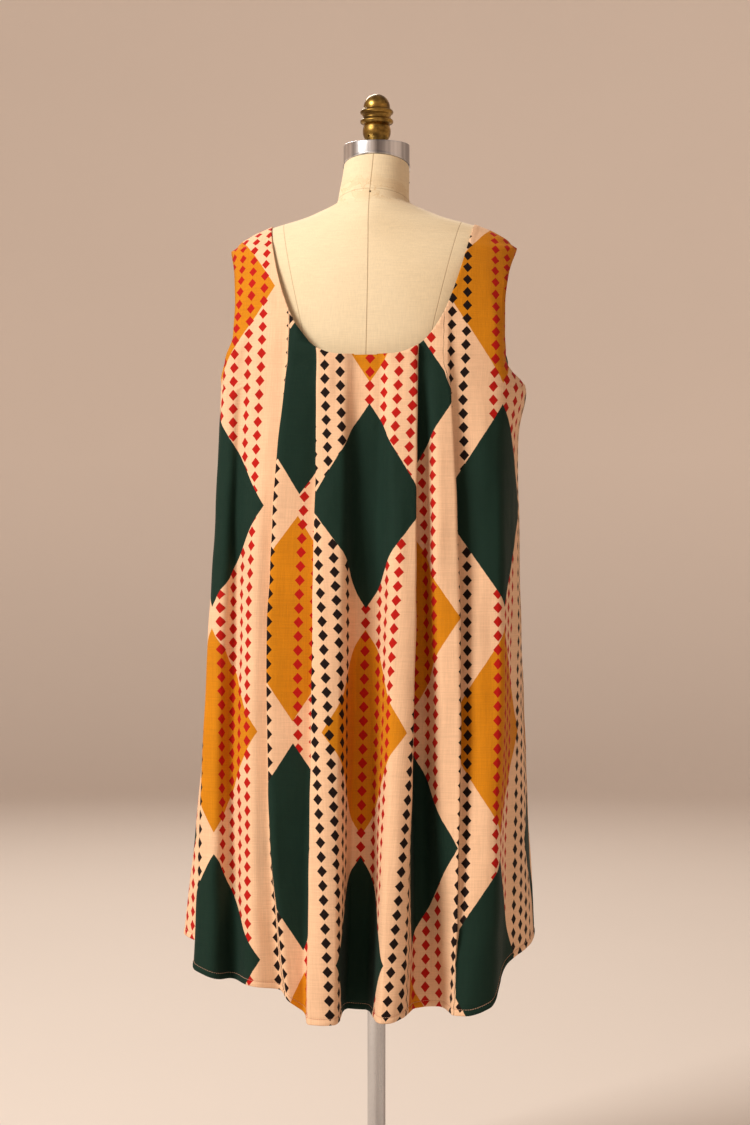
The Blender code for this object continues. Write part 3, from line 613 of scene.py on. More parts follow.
def rest_y(x, z, cloth):
    """Return the depth of the unpleated cloth at x and z."""
    share = above_yoke(z, SHOULDER_ROWS[0].z)
    over_form = FORM_CURVES[cloth.depth](z - CLOTH_LIFT) + SHOULDER_LIFT
    depth = REST_CURVES[cloth.depth](z) * (1 - share) + over_form * share
    power = FORM_CURVES["power"](z - CLOTH_LIFT)
    inside = max(1 - (abs(x) / rest_half_width(z)) ** power, 0.0)
    return cloth.side * depth * inside ** (1 / power)


def armhole_y(z, cloth):
    """Return how far the armhole's edge lies from the side line, below its turn."""
    share = min(max((z - UNDERARM) / (ARMHOLE_TURN - UNDERARM), 0.0), 1.0)
    return cloth.armhole * math.sqrt(1 - (1 - share) ** 2)


def through_levels(neck, hip, hem, share):
    """Return the value at a share of the way down, on the curve through three levels."""
    at_neck = (share - HIP_SHARE) * (share - 1) / HIP_SHARE
    at_hip = share * (share - 1) / (HIP_SHARE * (HIP_SHARE - 1))
    at_hem = share * (share - HIP_SHARE) / (1 - HIP_SHARE)
    return neck * at_neck + hip * at_hip + hem * at_hem


def lap_share(share):
    """Return how much of the lap is folded over at a share of the way down."""
    folded = smooth_step(share / LAP_FULL_FROM)
    return folded * (1 - smooth_step((share - LAP_FADE_FROM) / LAP_FADE_OVER))


def skirt_corner(fold, share):
    """Return a fold line's point at a share of the way from the neckline level to the hem."""
    x = through_levels(fold.neck_x, fold.hip_x, fold.hem_x, share)
    x += fold.lap * LAP * lap_share(share)
    y = through_levels(fold.neck_y, fold.hip_y, fold.hem_y, share)
    z = NECK_LEVEL + (fold.hem_z - NECK_LEVEL) * share
    if fold.neck_x > UNDERARM_FLARE_FROM:
        reach = UNDERARM_FLARE_RISE if z > UNDERARM else UNDERARM_FLARE_FALL
        x += UNDERARM_FLARE * math.exp(-((z - UNDERARM) / reach) ** 2)
    return np.array((x, y, z))


def bend(before, corner, after, soft):
    """Return points round one fold line, between the middles of its two neighbours."""
    start = corner + (before - corner) * 0.5 * soft
    end = corner + (after - corner) * 0.5 * soft
    return [
        start * (1 - t) ** 2 + corner * 2 * t * (1 - t) + end * t * t for t in BEND_SAMPLES
    ]


def rounded_row(corners, softs):
    """Return the row of cloth points that passes the fold lines' corners."""
    points = [corners[0]]
    for index in range(1, len(corners) - 1):
        points.extend(bend(corners[index - 1], corners[index], corners[index + 1], softs[index]))
    points.append(corners[-1])
    return np.array(points)


def lengths_along(path):
    """Return how far along a path each of its points lies."""
    steps = np.linalg.norm(np.diff(path, axis=0), axis=1)
    return np.concatenate(([0.0], np.cumsum(steps)))


def at_length(wanted, lengths, values):
    """Return a path's values at the wanted lengths along it."""
    return np.array([np.interp(wanted, lengths, values[:, axis]) for axis in range(3)]).T


def steady_count(count):
    """Return how many of a row's points an armhole at its far end leaves in place."""
    return count * 3 // 4


def trim_end(points, cloth):
    """Return the points with the last ones drawn back to the armhole's edge."""
    keep = steady_count(len(points))
    tail = points[keep:]
    limit = armhole_y(tail[-1][2], cloth)
    if limit == 0.0:
        return points
    depths = np.abs(tail[:, 1])
    lengths = lengths_along(tail)
    crossing = next(i for i in range(len(tail) - 1) if depths[i] >= limit > depths[i + 1])
    part = (depths[crossing] - limit) / (depths[crossing] - depths[crossing + 1])
    end = lengths[crossing] + part * (lengths[crossing + 1] - lengths[crossing])
    wanted = lengths / lengths[-1] * end
    return np.concatenate((points[:keep], at_length(wanted, lengths, tail)))


def upper_row(neck_row, climb, level, cloth):
    """Return a row above the neckline level, drawn from the row at that level."""
    edge_curve = ARMHOLE_EDGE_CURVES[cloth.depth]
    tip = ARMHOLE_EDGES[-1].back
    points = []
    for start in neck_row:
        end = abs(neck_row[0][0]) if start[0] < 0 else abs(neck_row[-1][0])
        reach = smooth_step((abs(start[0]) - ARMHOLE_EDGE_FROM) / (end - ARMHOLE_EDGE_FROM))
        top = ridge(max(abs(start[0]) + (tip - end) * reach, NECKLINE_INSIDE))
        z = level + (top - level) * climb
        settle = smooth_step((z - NECK_LEVEL) / (ARMHOLE_EDGES[1].z - NECK_LEVEL))
        edge = end * (1 - settle) + edge_curve(z) * settle
        x = math.copysign(abs(start[0]) + (edge - end) * reach, start[0])
        relief = start[1] - rest_y(start[0], NECK_LEVEL, cloth)
        fade = 1 - smooth_step((z - NECK_LEVEL) / (YOKE_LEVEL - NECK_LEVEL))
        y = rest_y(x, z, cloth) + relief * fade
        points.append((x, y if climb < 1 else 0.0, z))
    return np.array(points)


def cloth_grid(cloth):
    """Return the cloth's points as an array of rows, from the hem to the shoulder seam."""
    softs = [fold.soft for fold in cloth.folds]
    rows = []
    for share in SKIRT_ROWS:
        row = rounded_row([skirt_corner(fold, share) for fold in cloth.folds], softs)
        rows.append(trim_end(trim_end(row, cloth)[::-1], cloth)[::-1])
    neck_row = rows[-1]
    for z in YOKE_ROWS:
        rows.append(upper_row(neck_row, 0.0, z, cloth))
    for share in STRAP_ROWS:
        rows.append(upper_row(neck_row, math.sin(share * math.pi / 2), YOKE_LEVEL, cloth))
    return np.array(rows)


def drawn_rows(grid):
    """Return the last row below the armholes, and the row where their turn ends."""
    heights = grid[:, grid.shape[1] // 2, 2]
    return int(np.argmax(heights >= UNDERARM)) - 1, int(np.argmax(heights >= ARMHOLE_TURN))


def along_rows(grid):
    """Return each point's distance along its row from the row's left end."""
    return np.array([lengths_along(row) for row in grid])


def from_sides(grid):
    """Return each point's distance along its row from the nearer end."""
    across = along_rows(grid)
    return np.minimum(across, across[:, -1:] - across)


def up_columns(grid):
    """Return each point's distance up the cloth from the hem.

    Above the underarm a column's drift sideways along the armhole isn't counted.
    """
    first, last = drawn_rows(grid)
    moves = np.diff(grid, axis=0)
    moves[first:, :, 0] = 0.0
    moves[first:last, :, 1] = 0.0
    steps = np.linalg.norm(moves, axis=2)
    return np.concatenate((np.zeros((1, grid.shape[1])), np.cumsum(steps, axis=0)), axis=0)


def column_of(cloth, name):
    """Return the grid's column that passes through the middle of a fold line's bend."""
    index = [fold.name for fold in cloth.folds].index(name)
    return 1 + (index - 1) * len(BEND_SAMPLES) + len(BEND_SAMPLES) // 2


def flat_coordinates(grid, cloth):
    """Return where each point lay on the flat cloth, across and up, in metres."""
    across = along_rows(grid)
    up = up_columns(grid)
    neck = len(SKIRT_ROWS) - 1
    anchors = [column_of(cloth, name) for name in cloth.anchors]
    starts = [0]
    for item in cloth.breaks:
        starts.append((column_of(cloth, item.before) + column_of(cloth, item.after) + 1) // 2)
    starts.append(grid.shape[1])
    middle = len(anchors) // 2
    first, _ = drawn_rows(grid)
    keep = steady_count(grid.shape[1])
    flat = np.zeros(grid.shape[:2] + (2,))
    for strip, anchor in enumerate(anchors):
        part = slice(starts[strip], starts[strip + 1])
        home = across[0, anchor] - across[0, anchors[middle]] + FOLDED_AWAY * (strip - middle)
        steady = min(max(anchor, grid.shape[1] - keep), keep - 1)
        line = across[:, steady] + across[first, anchor] - across[first, steady]
        line[:first] = across[:first, anchor]
        flat[:, part, 0] = home + across[:, part] - line[:, None]
    flat[:, :, 1] = up - up[neck : neck + 1]
    return flat


def grid_normals(grid, side):
    """Return the cloth's outward direction at each point."""
    normals = np.cross(np.gradient(grid, axis=1), np.gradient(grid, axis=0))
    normals /= np.linalg.norm(normals, axis=2, keepdims=True) + TINY_AREA
    return normals if np.mean(normals[:, :, 1]) * side > 0 else -normals


def crease_relief(grid, creases):
    """Return how far the creases lift each point out."""
    relief = np.zeros(grid.shape[:2])
    for crease in creases:
        lean = math.radians(crease.lean)
        dx, dz = grid[:, :, 0] - crease.x, grid[:, :, 2] - crease.z
        along = (dx * math.sin(lean) + dz * math.cos(lean)) / (crease.length / 2)
        across = (dx * math.cos(lean) - dz * math.sin(lean)) / crease.width
        taper = np.clip(1 - along**2, 0, 1) ** 2
        trough = TROUGH_SHARE * np.exp(-((across - TROUGH_AWAY) ** 2))
        relief += crease.depth * taper * (np.exp(-(across**2)) - trough)
    return relief


def crumple_relief(grid, crumple, side):
    """Return how far soft noise, drawn out across and up, lifts each point out."""
    stretch = np.array((crumple.across, crumple.across, crumple.up))
    spots = grid.reshape(-1, 3) / stretch + crumple.seed * side
    values = np.array([noise.noise(Vector(spot)) for spot in spots])
    return crumple.depth * values.reshape(grid.shape[:2])


def drape_relief(grid, cloth):
    """Return how far each point is lifted out by creases, hem and seams."""
    up = up_columns(grid)
    from_end = from_sides(grid)
    height = grid[:, :, 2]
    relief = crease_relief(grid, cloth.creases)
    for crumple in CRUMPLES:
        relief += crumple_relief(grid, crumple, cloth.side)
    relief *= smooth_step(from_end / END_FADE)
    strap = smooth_step((height - STRAP_FROM) / STRAP_OVER)
    relief = relief * (1 - strap) + np.maximum(relief, 0.0) * strap * STRAP_SHARE
    relief *= 1 - smooth_step((height - SHOULDER_FROM) / SHOULDER_OVER)
    relief += crumple_relief(grid, PUCKER, cloth.side) * np.exp(-up / PUCKER_REACH)
    relief += HEM_RISE * smooth_step((HEM_DEPTH - up) / HEM_RISE_BLEND)
    relief -= STITCH_SINK * np.exp(-(((up - HEM_DEPTH) / STITCH_SINK_WIDTH) ** 2))
    below_arm = smooth_step((UNDERARM - height) / SEAM_BLEND)
    relief -= SEAM_SINK * np.exp(-((from_end / SEAM_SINK_WIDTH) ** 2)) * below_arm
    return relief


def neckline_height(x, cloth):
    """Return the height of the neckline's edge at x."""
    drop = NECKLINE_SHOULDER - cloth.neckline_low
    return cloth.neckline_low + drop * np.abs(x / NECKLINE_HALF_WIDTH) ** NECKLINE_POWER


def above_neckline(grid, cloth):
    """Return how far each point lies above the neckline's edge, upright and square to it."""
    level = grid[:, :, 2] - neckline_height(grid[:, :, 0], cloth)
    slope = np.gradient(neckline_height(RIDGE_X, cloth), RIDGE_X)
    steep = np.sqrt(1 + np.interp(np.abs(grid[:, :, 0]), RIDGE_X, slope) ** 2)
    return level, level / steep


def double_cloth(height, from_end, up, square):
    """Return where the cloth is turned under: at the hem, the armholes and the neckline."""
    above_arm = smooth_step((height - UNDERARM) / UNDERARM_BLEND)
    armhole = above_arm * smooth_step((EDGE_TURN - from_end) / EDGE_BLEND)
    hem = smooth_step((HEM_DEPTH - up) / HEM_BLEND)
    neckline = smooth_step((EDGE_TURN + square) / EDGE_BLEND)
    return np.maximum(np.maximum(hem, armhole), neckline)


def clip_grid(values, level):
    """Return the points and faces of a grid where level is below zero, cut where it is zero."""
    rows, columns = level.shape
    points = [row for row in values.reshape(rows * columns, -1)]
    heights = [float(value) for value in level.reshape(-1)]
    crossings = {}
    used = {}
    kept = []

    def crossing(a, b):
        key = (min(a, b), max(a, b))
        if key not in crossings:
            part = heights[a] / (heights[a] - heights[b])
            crossings[key] = len(points)
            points.append(points[a] * (1 - part) + points[b] * part)
        return crossings[key]

    faces = []
    for row in range(rows - 1):
        for column in range(columns - 1):
            first = row * columns + column
            corners = (first, first + 1, first + columns + 1, first + columns)
            face = []
            for a, b in zip(corners, corners[1:] + corners[:1]):
                if heights[a] <= 0:
                    face.append(a)
                if (heights[a] <= 0) != (heights[b] <= 0):
                    face.append(crossing(a, b))
            if len(face) > 2:
                faces.append(face)
    for face in faces:
        for index in face:
            if index not in used:
                used[index] = len(kept)
                kept.append(points[index])
    return np.array(kept), [[used[index] for index in face] for face in faces]


def snap_level(level):
    """Return the level with points very near the cut moved onto it."""
    return np.where(np.abs(level) < NECKLINE_SNAP, JUST_BELOW, level)


def new_piece(name, points, faces, materials, sharp=40):
    """Return an object of points and faces, smooth but for edges past the sharp angle."""
    mesh = bpy.data.meshes.new(name)
    mesh.from_pydata([tuple(point) for point in points], [], faces)
    for material in materials:
        mesh.materials.append(material)
    for polygon in mesh.polygons:
        polygon.use_smooth = True
    mesh.set_sharp_from_angle(angle=math.radians(sharp))
    item = bpy.data.objects.new(name, mesh)
    bpy.context.scene.collection.objects.link(item)
    return item


def around(sides):
    """Return each index round a ring with the one after it."""
    return [(side, (side + 1) % sides) for side in range(sides)]


def ring_angles(sides, start=0.0):
    return np.linspace(start, start + math.tau, sides, endpoint=False)


def ring_faces(low, high, sides):
    """Return the faces between two rings, whose points begin at low and at high."""
    return [
        (low + side, low + after, high + after, high + side) for side, after in around(sides)
    ]


def tube(rings):
    """Return the points and faces of a tube through rings of points, closed at both ends."""
    sides = len(rings[0])
    points = [point for ring in rings for point in ring]
    last = len(points) - sides
    faces = [tuple(range(sides))[::-1], tuple(range(last, len(points)))]
    for low in range(0, last, sides):
        faces.extend(ring_faces(low, low + sides, sides))
    return points, faces


def joined(parts):
    """Return the points and faces of several parts as those of one."""
    points, faces = [], []
    for part_points, part_faces in parts:
        start = len(points)
        points.extend(part_points)
        faces.extend([start + index for index in face] for face in part_faces)
    return points, faces


def arc(radius, centre_r, centre_z, start, end, count):
    """Return points on an arc of the profile, with angles in degrees from +X."""
    angles = np.radians(np.linspace(start, end, count))
    return [(centre_r + radius * math.cos(a), centre_z + radius * math.sin(a)) for a in angles]


def turned_shape(profile, sides):
    """Return the points and faces of a profile turned about Z, from its start on the axis.

    The profile runs from top to bottom, and one that ends on the axis closes the shape.
    """
    closed = profile[-1][0] == 0.0
    rings = profile[1:-1] if closed else profile[1:]
    points = [(0.0, 0.0, profile[0][1])]
    for radius, z in rings:
        points.extend((radius * math.cos(a), radius * math.sin(a), z) for a in ring_angles(sides))
    faces = [(0, 1 + side, 1 + after) for side, after in around(sides)]
    last = 1 + (len(rings) - 1) * sides
    for high in range(1, last, sides):
        faces.extend(ring_faces(high + sides, high, sides))
    if closed:
        faces.extend((last + side, len(points), last + after) for side, after in around(sides))
        points.append((0.0, 0.0, profile[-1][1]))
    return points, faces


def turned(name, profile, sides, materials, sharp=32):
    return new_piece(name, *turned_shape(profile, sides), materials, sharp)


def on_torso(points):
    """Return the cloth's points moved sideways to where the form stands."""
    return np.array(points) + (TORSO_SHIFT, 0.0, 0.0)


def set_uv(mesh, coordinates):
    """Keep where each point lay on the flat cloth as the mesh's UV map."""
    layer = mesh.uv_layers.new(name="cloth")
    index = np.empty(len(mesh.loops), dtype=np.int32)
    mesh.loops.foreach_get("vertex_index", index)
    layer.data.foreach_set("uv", coordinates[index].astype(np.float32).reshape(-1))


def thicken(sheet, double):
    """Give the sheet its wall, which is thicker where the cloth is turned under."""
    group = sheet.vertex_groups.new(name="double")
    for index, weight in enumerate(double):
        group.add([index], float(weight), "REPLACE")
    wall = sheet.modifiers.new("thickness", "SOLIDIFY")
    wall.thickness = HEM_CLOTH
    wall.offset = 0.0
    wall.vertex_group = "double"
    wall.thickness_vertex_group = CLOTH / HEM_CLOTH
    wall.material_offset = 1
    wall.material_offset_rim = 0


def build_cloth(cloth, materials):
    """Return one side of the dress and its hem's stitches, with its flat size and area."""
    plain = cloth_grid(cloth)
    up = up_columns(plain)
    grid = plain + grid_normals(plain, cloth.side) * drape_relief(plain, cloth)[:, :, None]
    level, square = above_neckline(grid, cloth)
    double = double_cloth(grid[:, :, 2], from_sides(plain), up, square)
    flat = flat_coordinates(plain, cloth)
    values = np.concatenate((grid, flat, double[:, :, None]), axis=2)
    points, faces = clip_grid(values, snap_level(level))
    if cloth.side > 0:
        faces = [face[::-1] for face in faces]
    sheet = new_piece("cloth_" + cloth.name, on_torso(points[:, :3]), faces, materials, sharp=60)
    set_uv(sheet.data, points[:, 3:5])
    thicken(sheet, points[:, 5])
    folded = FOLDED_AWAY * len(cloth.breaks)
    width = float(lengths_along(plain[0])[-1]) + folded
    length = float(up.max())
    area = sum(polygon.area for polygon in sheet.data.polygons)
    area += folded * (NECK_LEVEL - cloth.folds[0].hem_z)
    return sheet, hem_stitches(grid, cloth, materials[2]), (width, length), area


def hem_stitches(grid, cloth, thread):
    """Return the hem's line of stitches, each a short thread that dips at its ends."""
    path = grid[STITCH_ROW]
    normals = grid_normals(grid, cloth.side)[STITCH_ROW]
    lengths = lengths_along(path)
    stitches = []
    for centre in np.arange(STITCH_MARGIN, lengths[-1] - STITCH_MARGIN, STITCH_PITCH):
        rings = []
        for ring in STITCH_RINGS:
            s = centre + ring.along * STITCH_LENGTH / 2
            normal = at_length(s, lengths, normals)
            spot = at_length(s, lengths, path) + normal * (HEM_CLOTH / 2 + ring.lift)
            radius = STITCH_RADIUS * ring.size
            rings.append([
                spot + normal * radius * math.cos(a) + (0.0, 0.0, radius * math.sin(a))
                for a in ring_angles(STITCH_SIDES)
            ])
        stitches.append(tube(rings))
    points, faces = joined(stitches)
    return new_piece("hem_stitches_" + cloth.name, on_torso(points), faces, [thread])


class Graph:
    """A material's nodes, with short calls to add to them."""

    def __init__(self, name, roughness, color, metallic=0.0):
        self.material = bpy.data.materials.new(name)
        self.material.use_nodes = True
        self.tree = self.material.node_tree
        self.shader = self.tree.nodes["Principled BSDF"]
        self.fix({"Roughness": roughness, "Metallic": metallic, "Base Color": (*color, 1.0)})
        self.material.diffuse_color = (*color, 1.0)

    def fix(self, values):
        """Set some of the shader's sockets to constant values."""
        for socket, value in values.items():
            self.shader.inputs[socket].default_value = value

    def add(self, kind, inputs, **settings):
        node = self.tree.nodes.new(kind)
        for key, value in settings.items():
            setattr(node, key, value)
        for key, value in inputs.items():
            if isinstance(value, bpy.types.NodeSocket):
                self.tree.links.new(value, node.inputs[key])
            else:
                node.inputs[key].default_value = value
        return node

    def math(self, operation, *values, clamp=False):
        inputs = dict(enumerate(values))
        return self.add("ShaderNodeMath", inputs, operation=operation, use_clamp=clamp).outputs[0]

    def mix(self, factor, first, second, blend="MIX"):
        inputs = {0: factor}
        for key, value in ((6, first), (7, second)):
            inputs[key] = (*value, 1.0) if isinstance(value, tuple) else value
        node = self.add("ShaderNodeMix", inputs, data_type="RGBA", blend_type=blend)
        return node.outputs[2]

    def shaded(self, color, shade):
        """Return the colour made lighter or darker by the shade."""
        inputs = {0: color, "Scale": shade}
        return self.add("ShaderNodeVectorMath", inputs, operation="SCALE").outputs[0]

    def noise(self, vector, stretch=(1.0, 1.0, 1.0), detail=2.0):
        """Return noise round a half, whose stretch is its waves a metre on each axis."""
        inputs = {0: vector, 1: stretch}
        fine = self.add("ShaderNodeVectorMath", inputs, operation="MULTIPLY").outputs[0]
        inputs = {"Vector": fine, "Scale": 1.0, "Detail": detail}
        return self.add("ShaderNodeTexNoise", inputs).outputs[0]

    def threads(self, vector, stretches, detail):
        """Return the mean of two noises, drawn out as the threads of both directions."""
        warp, weft = (self.noise(vector, stretch, detail) for stretch in stretches)
        return self.math("MULTIPLY", self.math("ADD", warp, weft), 0.5)

    def ramp(self, value, given, wanted=(0.0, 1.0)):
        """Return the value moved from the given range to the wanted one, and held there."""
        inputs = dict(enumerate((value, *given, *wanted)))
        return self.add("ShaderNodeMapRange", inputs).outputs[0]

    def attribute(self, name):
        return self.add("ShaderNodeAttribute", {}, attribute_name=name).outputs["Fac"]

    def place(self):
        return self.add("ShaderNodeTexCoord", {}).outputs["Object"]

    def split(self, vector):
        return self.add("ShaderNodeSeparateXYZ", {0: vector}).outputs

    def pair(self, x, y):
        return self.add("ShaderNodeCombineXYZ", {0: x, 1: y}).outputs[0]

    def set(self, socket, value):
        self.tree.links.new(value, self.shader.inputs[socket])

    def bump(self, height, distance, strength=1.0):
        inputs = {"Height": height, "Distance": distance, "Strength": strength}
        self.set("Normal", self.add("ShaderNodeBump", inputs).outputs[0])


def diamond(graph, across, up, half_width, half_height, sharp):
    """Return the mask of a diamond round the middle of its cell."""
    side = graph.math("DIVIDE", graph.math("ABSOLUTE", across), half_width)
    tall = graph.math("DIVIDE", graph.math("ABSOLUTE", up), half_height)
    inside = graph.math("SUBTRACT", 1.0, graph.math("ADD", side, tall))
    return graph.math("MULTIPLY", inside, sharp, clamp=True)


def cells(graph, across, up, width, height):
    """Return a half-drop grid's place in its cell, its column and its row."""
    column = graph.math("FLOOR", graph.math("MULTIPLY_ADD", across, 1 / width, 0.5))
    in_across = graph.math("MULTIPLY_ADD", column, -width, across)
    drop = graph.math("MULTIPLY", graph.math("FLOORED_MODULO", column, 2.0), 0.5)
    tall = graph.math("MULTIPLY_ADD", up, 1 / height, drop)
    row = graph.math("FLOOR", tall)
    in_up = graph.math("MULTIPLY", graph.math("SUBTRACT", graph.math("FRACT", tall), 0.5), height)
    return in_across, in_up, column, row


def printed_color(graph, vector):
    """Return the print: lozenges over upright stripes of small diamonds on a peach ground."""
    across, up, _ = graph.split(vector)
    wobble = graph.math("SUBTRACT", graph.noise(vector, PRINT_WOBBLE_STRETCH), 0.5)
    across = graph.math("MULTIPLY_ADD", wobble, PRINT_WOBBLE, across)
    up = graph.math("ADD", up, PRINT_RISE)
    *small, column, _ = cells(graph, across, up, *SMALL_CELL)
    dots = diamond(graph, *small, *SMALL_DIAMOND, SMALL_EDGE)
    stripe = graph.math("FLOORED_MODULO", column, 2.0 * STRIPE_COLUMNS)
    in_stripe = graph.math("FLOORED_MODULO", column, STRIPE_COLUMNS)
    dots = graph.math("MULTIPLY", dots, graph.math("LESS_THAN", in_stripe, INKED_COLUMNS - 0.5))
    ink = graph.mix(graph.math("GREATER_THAN", stripe, STRIPE_COLUMNS - 0.5), RED, BROWN)
    *large, column, row = cells(graph, across, up, *LARGE_CELL)
    lozenge = diamond(graph, *large, *LARGE_DIAMOND, LARGE_EDGE)
    odd = graph.math("ADD", row, graph.math("FLOORED_MODULO", column, 2.0))
    is_green = graph.math("GREATER_THAN", graph.math("FLOORED_MODULO", odd, 2.0), 0.5)
    under = graph.math("MULTIPLY", lozenge, graph.math("SUBTRACT", 1.0, is_green))
    color = graph.mix(under, PEACH, MUSTARD)
    color = graph.mix(dots, color, ink)
    return graph.mix(graph.math("MULTIPLY", lozenge, is_green), color, GREEN)


def cotton_material(name, reverse):
    """Return the printed cotton's face, or its paler reverse."""
    graph = Graph(name, 0.82, PEACH)
    vector = graph.add("ShaderNodeUVMap", {}, uv_map="cloth").outputs[0]
    color = printed_color(graph, vector)
    if reverse:
        color = graph.mix(REVERSE_SHARE, color, REVERSE)
    threads = graph.threads(vector, COTTON_THREADS, 1.0)
    slubs = graph.threads(vector, COTTON_SLUBS, 2.0)
    wear = graph.noise(vector, COTTON_WEAR, 3.0)
    crumple = graph.noise(vector, COTTON_CRUMPLE, 3.0)
    shade = graph.ramp(threads, (0.25, 0.75), (0.90, 1.08))
    shade = graph.math("MULTIPLY", shade, graph.ramp(wear, (0.3, 0.7), (0.95, 1.04)))
    shade = graph.math("MULTIPLY", shade, graph.ramp(slubs, (0.40, 0.60), (0.945, 1.055)))
    graph.set("Base Color", graph.shaded(color, shade))
    graph.set("Roughness", graph.ramp(threads, (0.3, 0.7), (0.74, 0.90)))
    graph.fix({"Sheen Weight": 0.03, "Sheen Roughness": 0.45, "Specular IOR Level": 0.16})
    relief = graph.math("MULTIPLY_ADD", crumple, CRUMPLE_SHARE, threads)
    relief = graph.math("MULTIPLY_ADD", slubs, SLUB_SHARE, relief)
    graph.bump(relief, COTTON_RELIEF, 0.6)
    return graph.material


def thread_material():
    graph = Graph("thread", 0.7, THREAD)
    twist = graph.noise(graph.place(), THREAD_TWIST)
    graph.set("Base Color", graph.mix(twist, THREAD, THREAD_DARK))
    graph.fix({"Sheen Weight": 0.2})
    return graph.material


def form_point(z, angle):
    """Return the form's surface point at a height and an angle round its axis."""
    power = FORM_CURVES["power"](z)
    depth = FORM_CURVES["front" if angle > 0 else "back"](z)
    cosine, sine = math.cos(angle), math.sin(angle)
    x = FORM_CURVES["half_width"](z) * math.copysign(abs(cosine) ** (2 / power), cosine)
    y = depth * math.copysign(abs(sine) ** (2 / power), sine)
    tilt = neck_share(z)
    return (x + TORSO_SHIFT * (1 - tilt), y, z - (y - NECK_CENTRE_Y) * CAP_SLANT * tilt)


def neck_share(z):
    """Return the eased share of the way up the neck."""
    return smooth_step((z - NECK_BOTTOM) / (NECK_TOP - NECK_BOTTOM))


def keep_seams(mesh, points, levels):
    """Keep each point's distance to the form's seams as attributes of the mesh."""
    x, y, z = points.T
    middle = x - TORSO_SHIFT * (1 - neck_share(levels))
    princess = np.interp(z, [row.z for row in PRINCESS], [row.x for row in PRINCESS])
    neck = NECK_SEAM_BACK - NECK_SEAM_FALL * (y + CAP_RADIUS)
    for name, away in (
        ("middle_seam", middle + SEAM_WANDER * np.sin(z * SEAM_WAVES)),
        ("princess_seam", np.abs(middle) - princess),
        ("side_seam", y),
        ("neck_seam", z - neck),
    ):
        layer = mesh.attributes.new(name, "FLOAT", "POINT")
        layer.data.foreach_set("value", away.astype(np.float32))


def build_form(materials):
    """Return the linen-covered form, with the distances to its seams kept on its points."""
    heights = np.concatenate([np.linspace(*rows) for rows in FORM_ROWS])
    angles = ring_angles(FORM_SIDES, FORM_START)
    points = [form_point(z, angle) for z in heights for angle in angles]
    last = len(points) - FORM_SIDES
    faces = []
    for low in range(0, last, FORM_SIDES):
        faces.extend(ring_faces(low, low + FORM_SIDES, FORM_SIDES))
    for side, after in around(FORM_SIDES):
        faces.append((after, side, len(points)))
        faces.append((last + side, last + after, len(points) + 1))
    points.extend([(TORSO_SHIFT, 0.0, FORM_BOTTOM), (0.0, NECK_CENTRE_Y, NECK_TOP)])
    form = new_piece("linen_form", points, faces, materials, sharp=50)
    levels = np.append(np.repeat(heights, FORM_SIDES), (FORM_BOTTOM, NECK_TOP))
    keep_seams(form.data, np.array(points), levels)
    return form


def seam_lines(graph, height):
    """Return the mask of the form's seams, each up to where it ends."""
    seams = 0.0
    for seam in FORM_SEAMS:
        away = graph.math("ABSOLUTE", graph.attribute(seam.name))
        line = graph.ramp(away, SEAM_LINE, (seam.strength, 0.0))
        line = graph.math("MULTIPLY", line, graph.math("LESS_THAN", height, seam.top))
        seams = graph.math("MAXIMUM", seams, line)
    return seams


def neck_stain(graph, place):
    """Return the mask of the tide marks along the neck's seam."""
    away = graph.math("ABSOLUTE", graph.attribute("neck_seam"))
    ring = graph.noise(place, STAIN_STRETCH, 3.0)
    from_edge = graph.math("ABSOLUTE", graph.math("SUBTRACT", ring, 0.5))
    edge = graph.ramp(from_edge, (0.0, 0.022), (1.0, 0.0))
    blot = graph.ramp(ring, (0.49, 0.56), (0.0, 0.40))
    near = graph.ramp(away, STAIN_REACH, (1.0, 0.0))
    return graph.math("MULTIPLY", graph.math("MAXIMUM", edge, blot), near, clamp=True)


def linen_material():
    """Return the form's linen cover, with its seams and its stains."""
    graph = Graph("linen_cover", 0.9, LINEN)
    place = graph.place()
    threads = graph.threads(place, LINEN_THREADS, 2.0)
    seams = seam_lines(graph, graph.split(place)[2])
    patch = graph.noise(place, LINEN_PATCHES, 4.0)
    color = graph.mix(graph.ramp(patch, (0.42, 0.72), (0.0, 0.30)), LINEN, LINEN_SHADE)
    stain = neck_stain(graph, place)
    color = graph.mix(graph.math("MULTIPLY", stain, STAIN_STRENGTH), color, STAIN)
    color = graph.mix(graph.math("MULTIPLY", seams, SEAM_STRENGTH), color, SEAM_SHADE)
    shade = graph.ramp(threads, (0.3, 0.7), (0.90, 1.07))
    graph.set("Base Color", graph.shaded(color, shade))
    graph.set("Roughness", graph.ramp(threads, (0.3, 0.7), (0.84, 0.96)))
    graph.fix({"Sheen Weight": 0.15, "Specular IOR Level": 0.2})
    relief = graph.math("SUBTRACT", graph.math("MULTIPLY", threads, 0.5), seams)
    graph.bump(relief, LINEN_RELIEF, 0.7)
    return graph.material


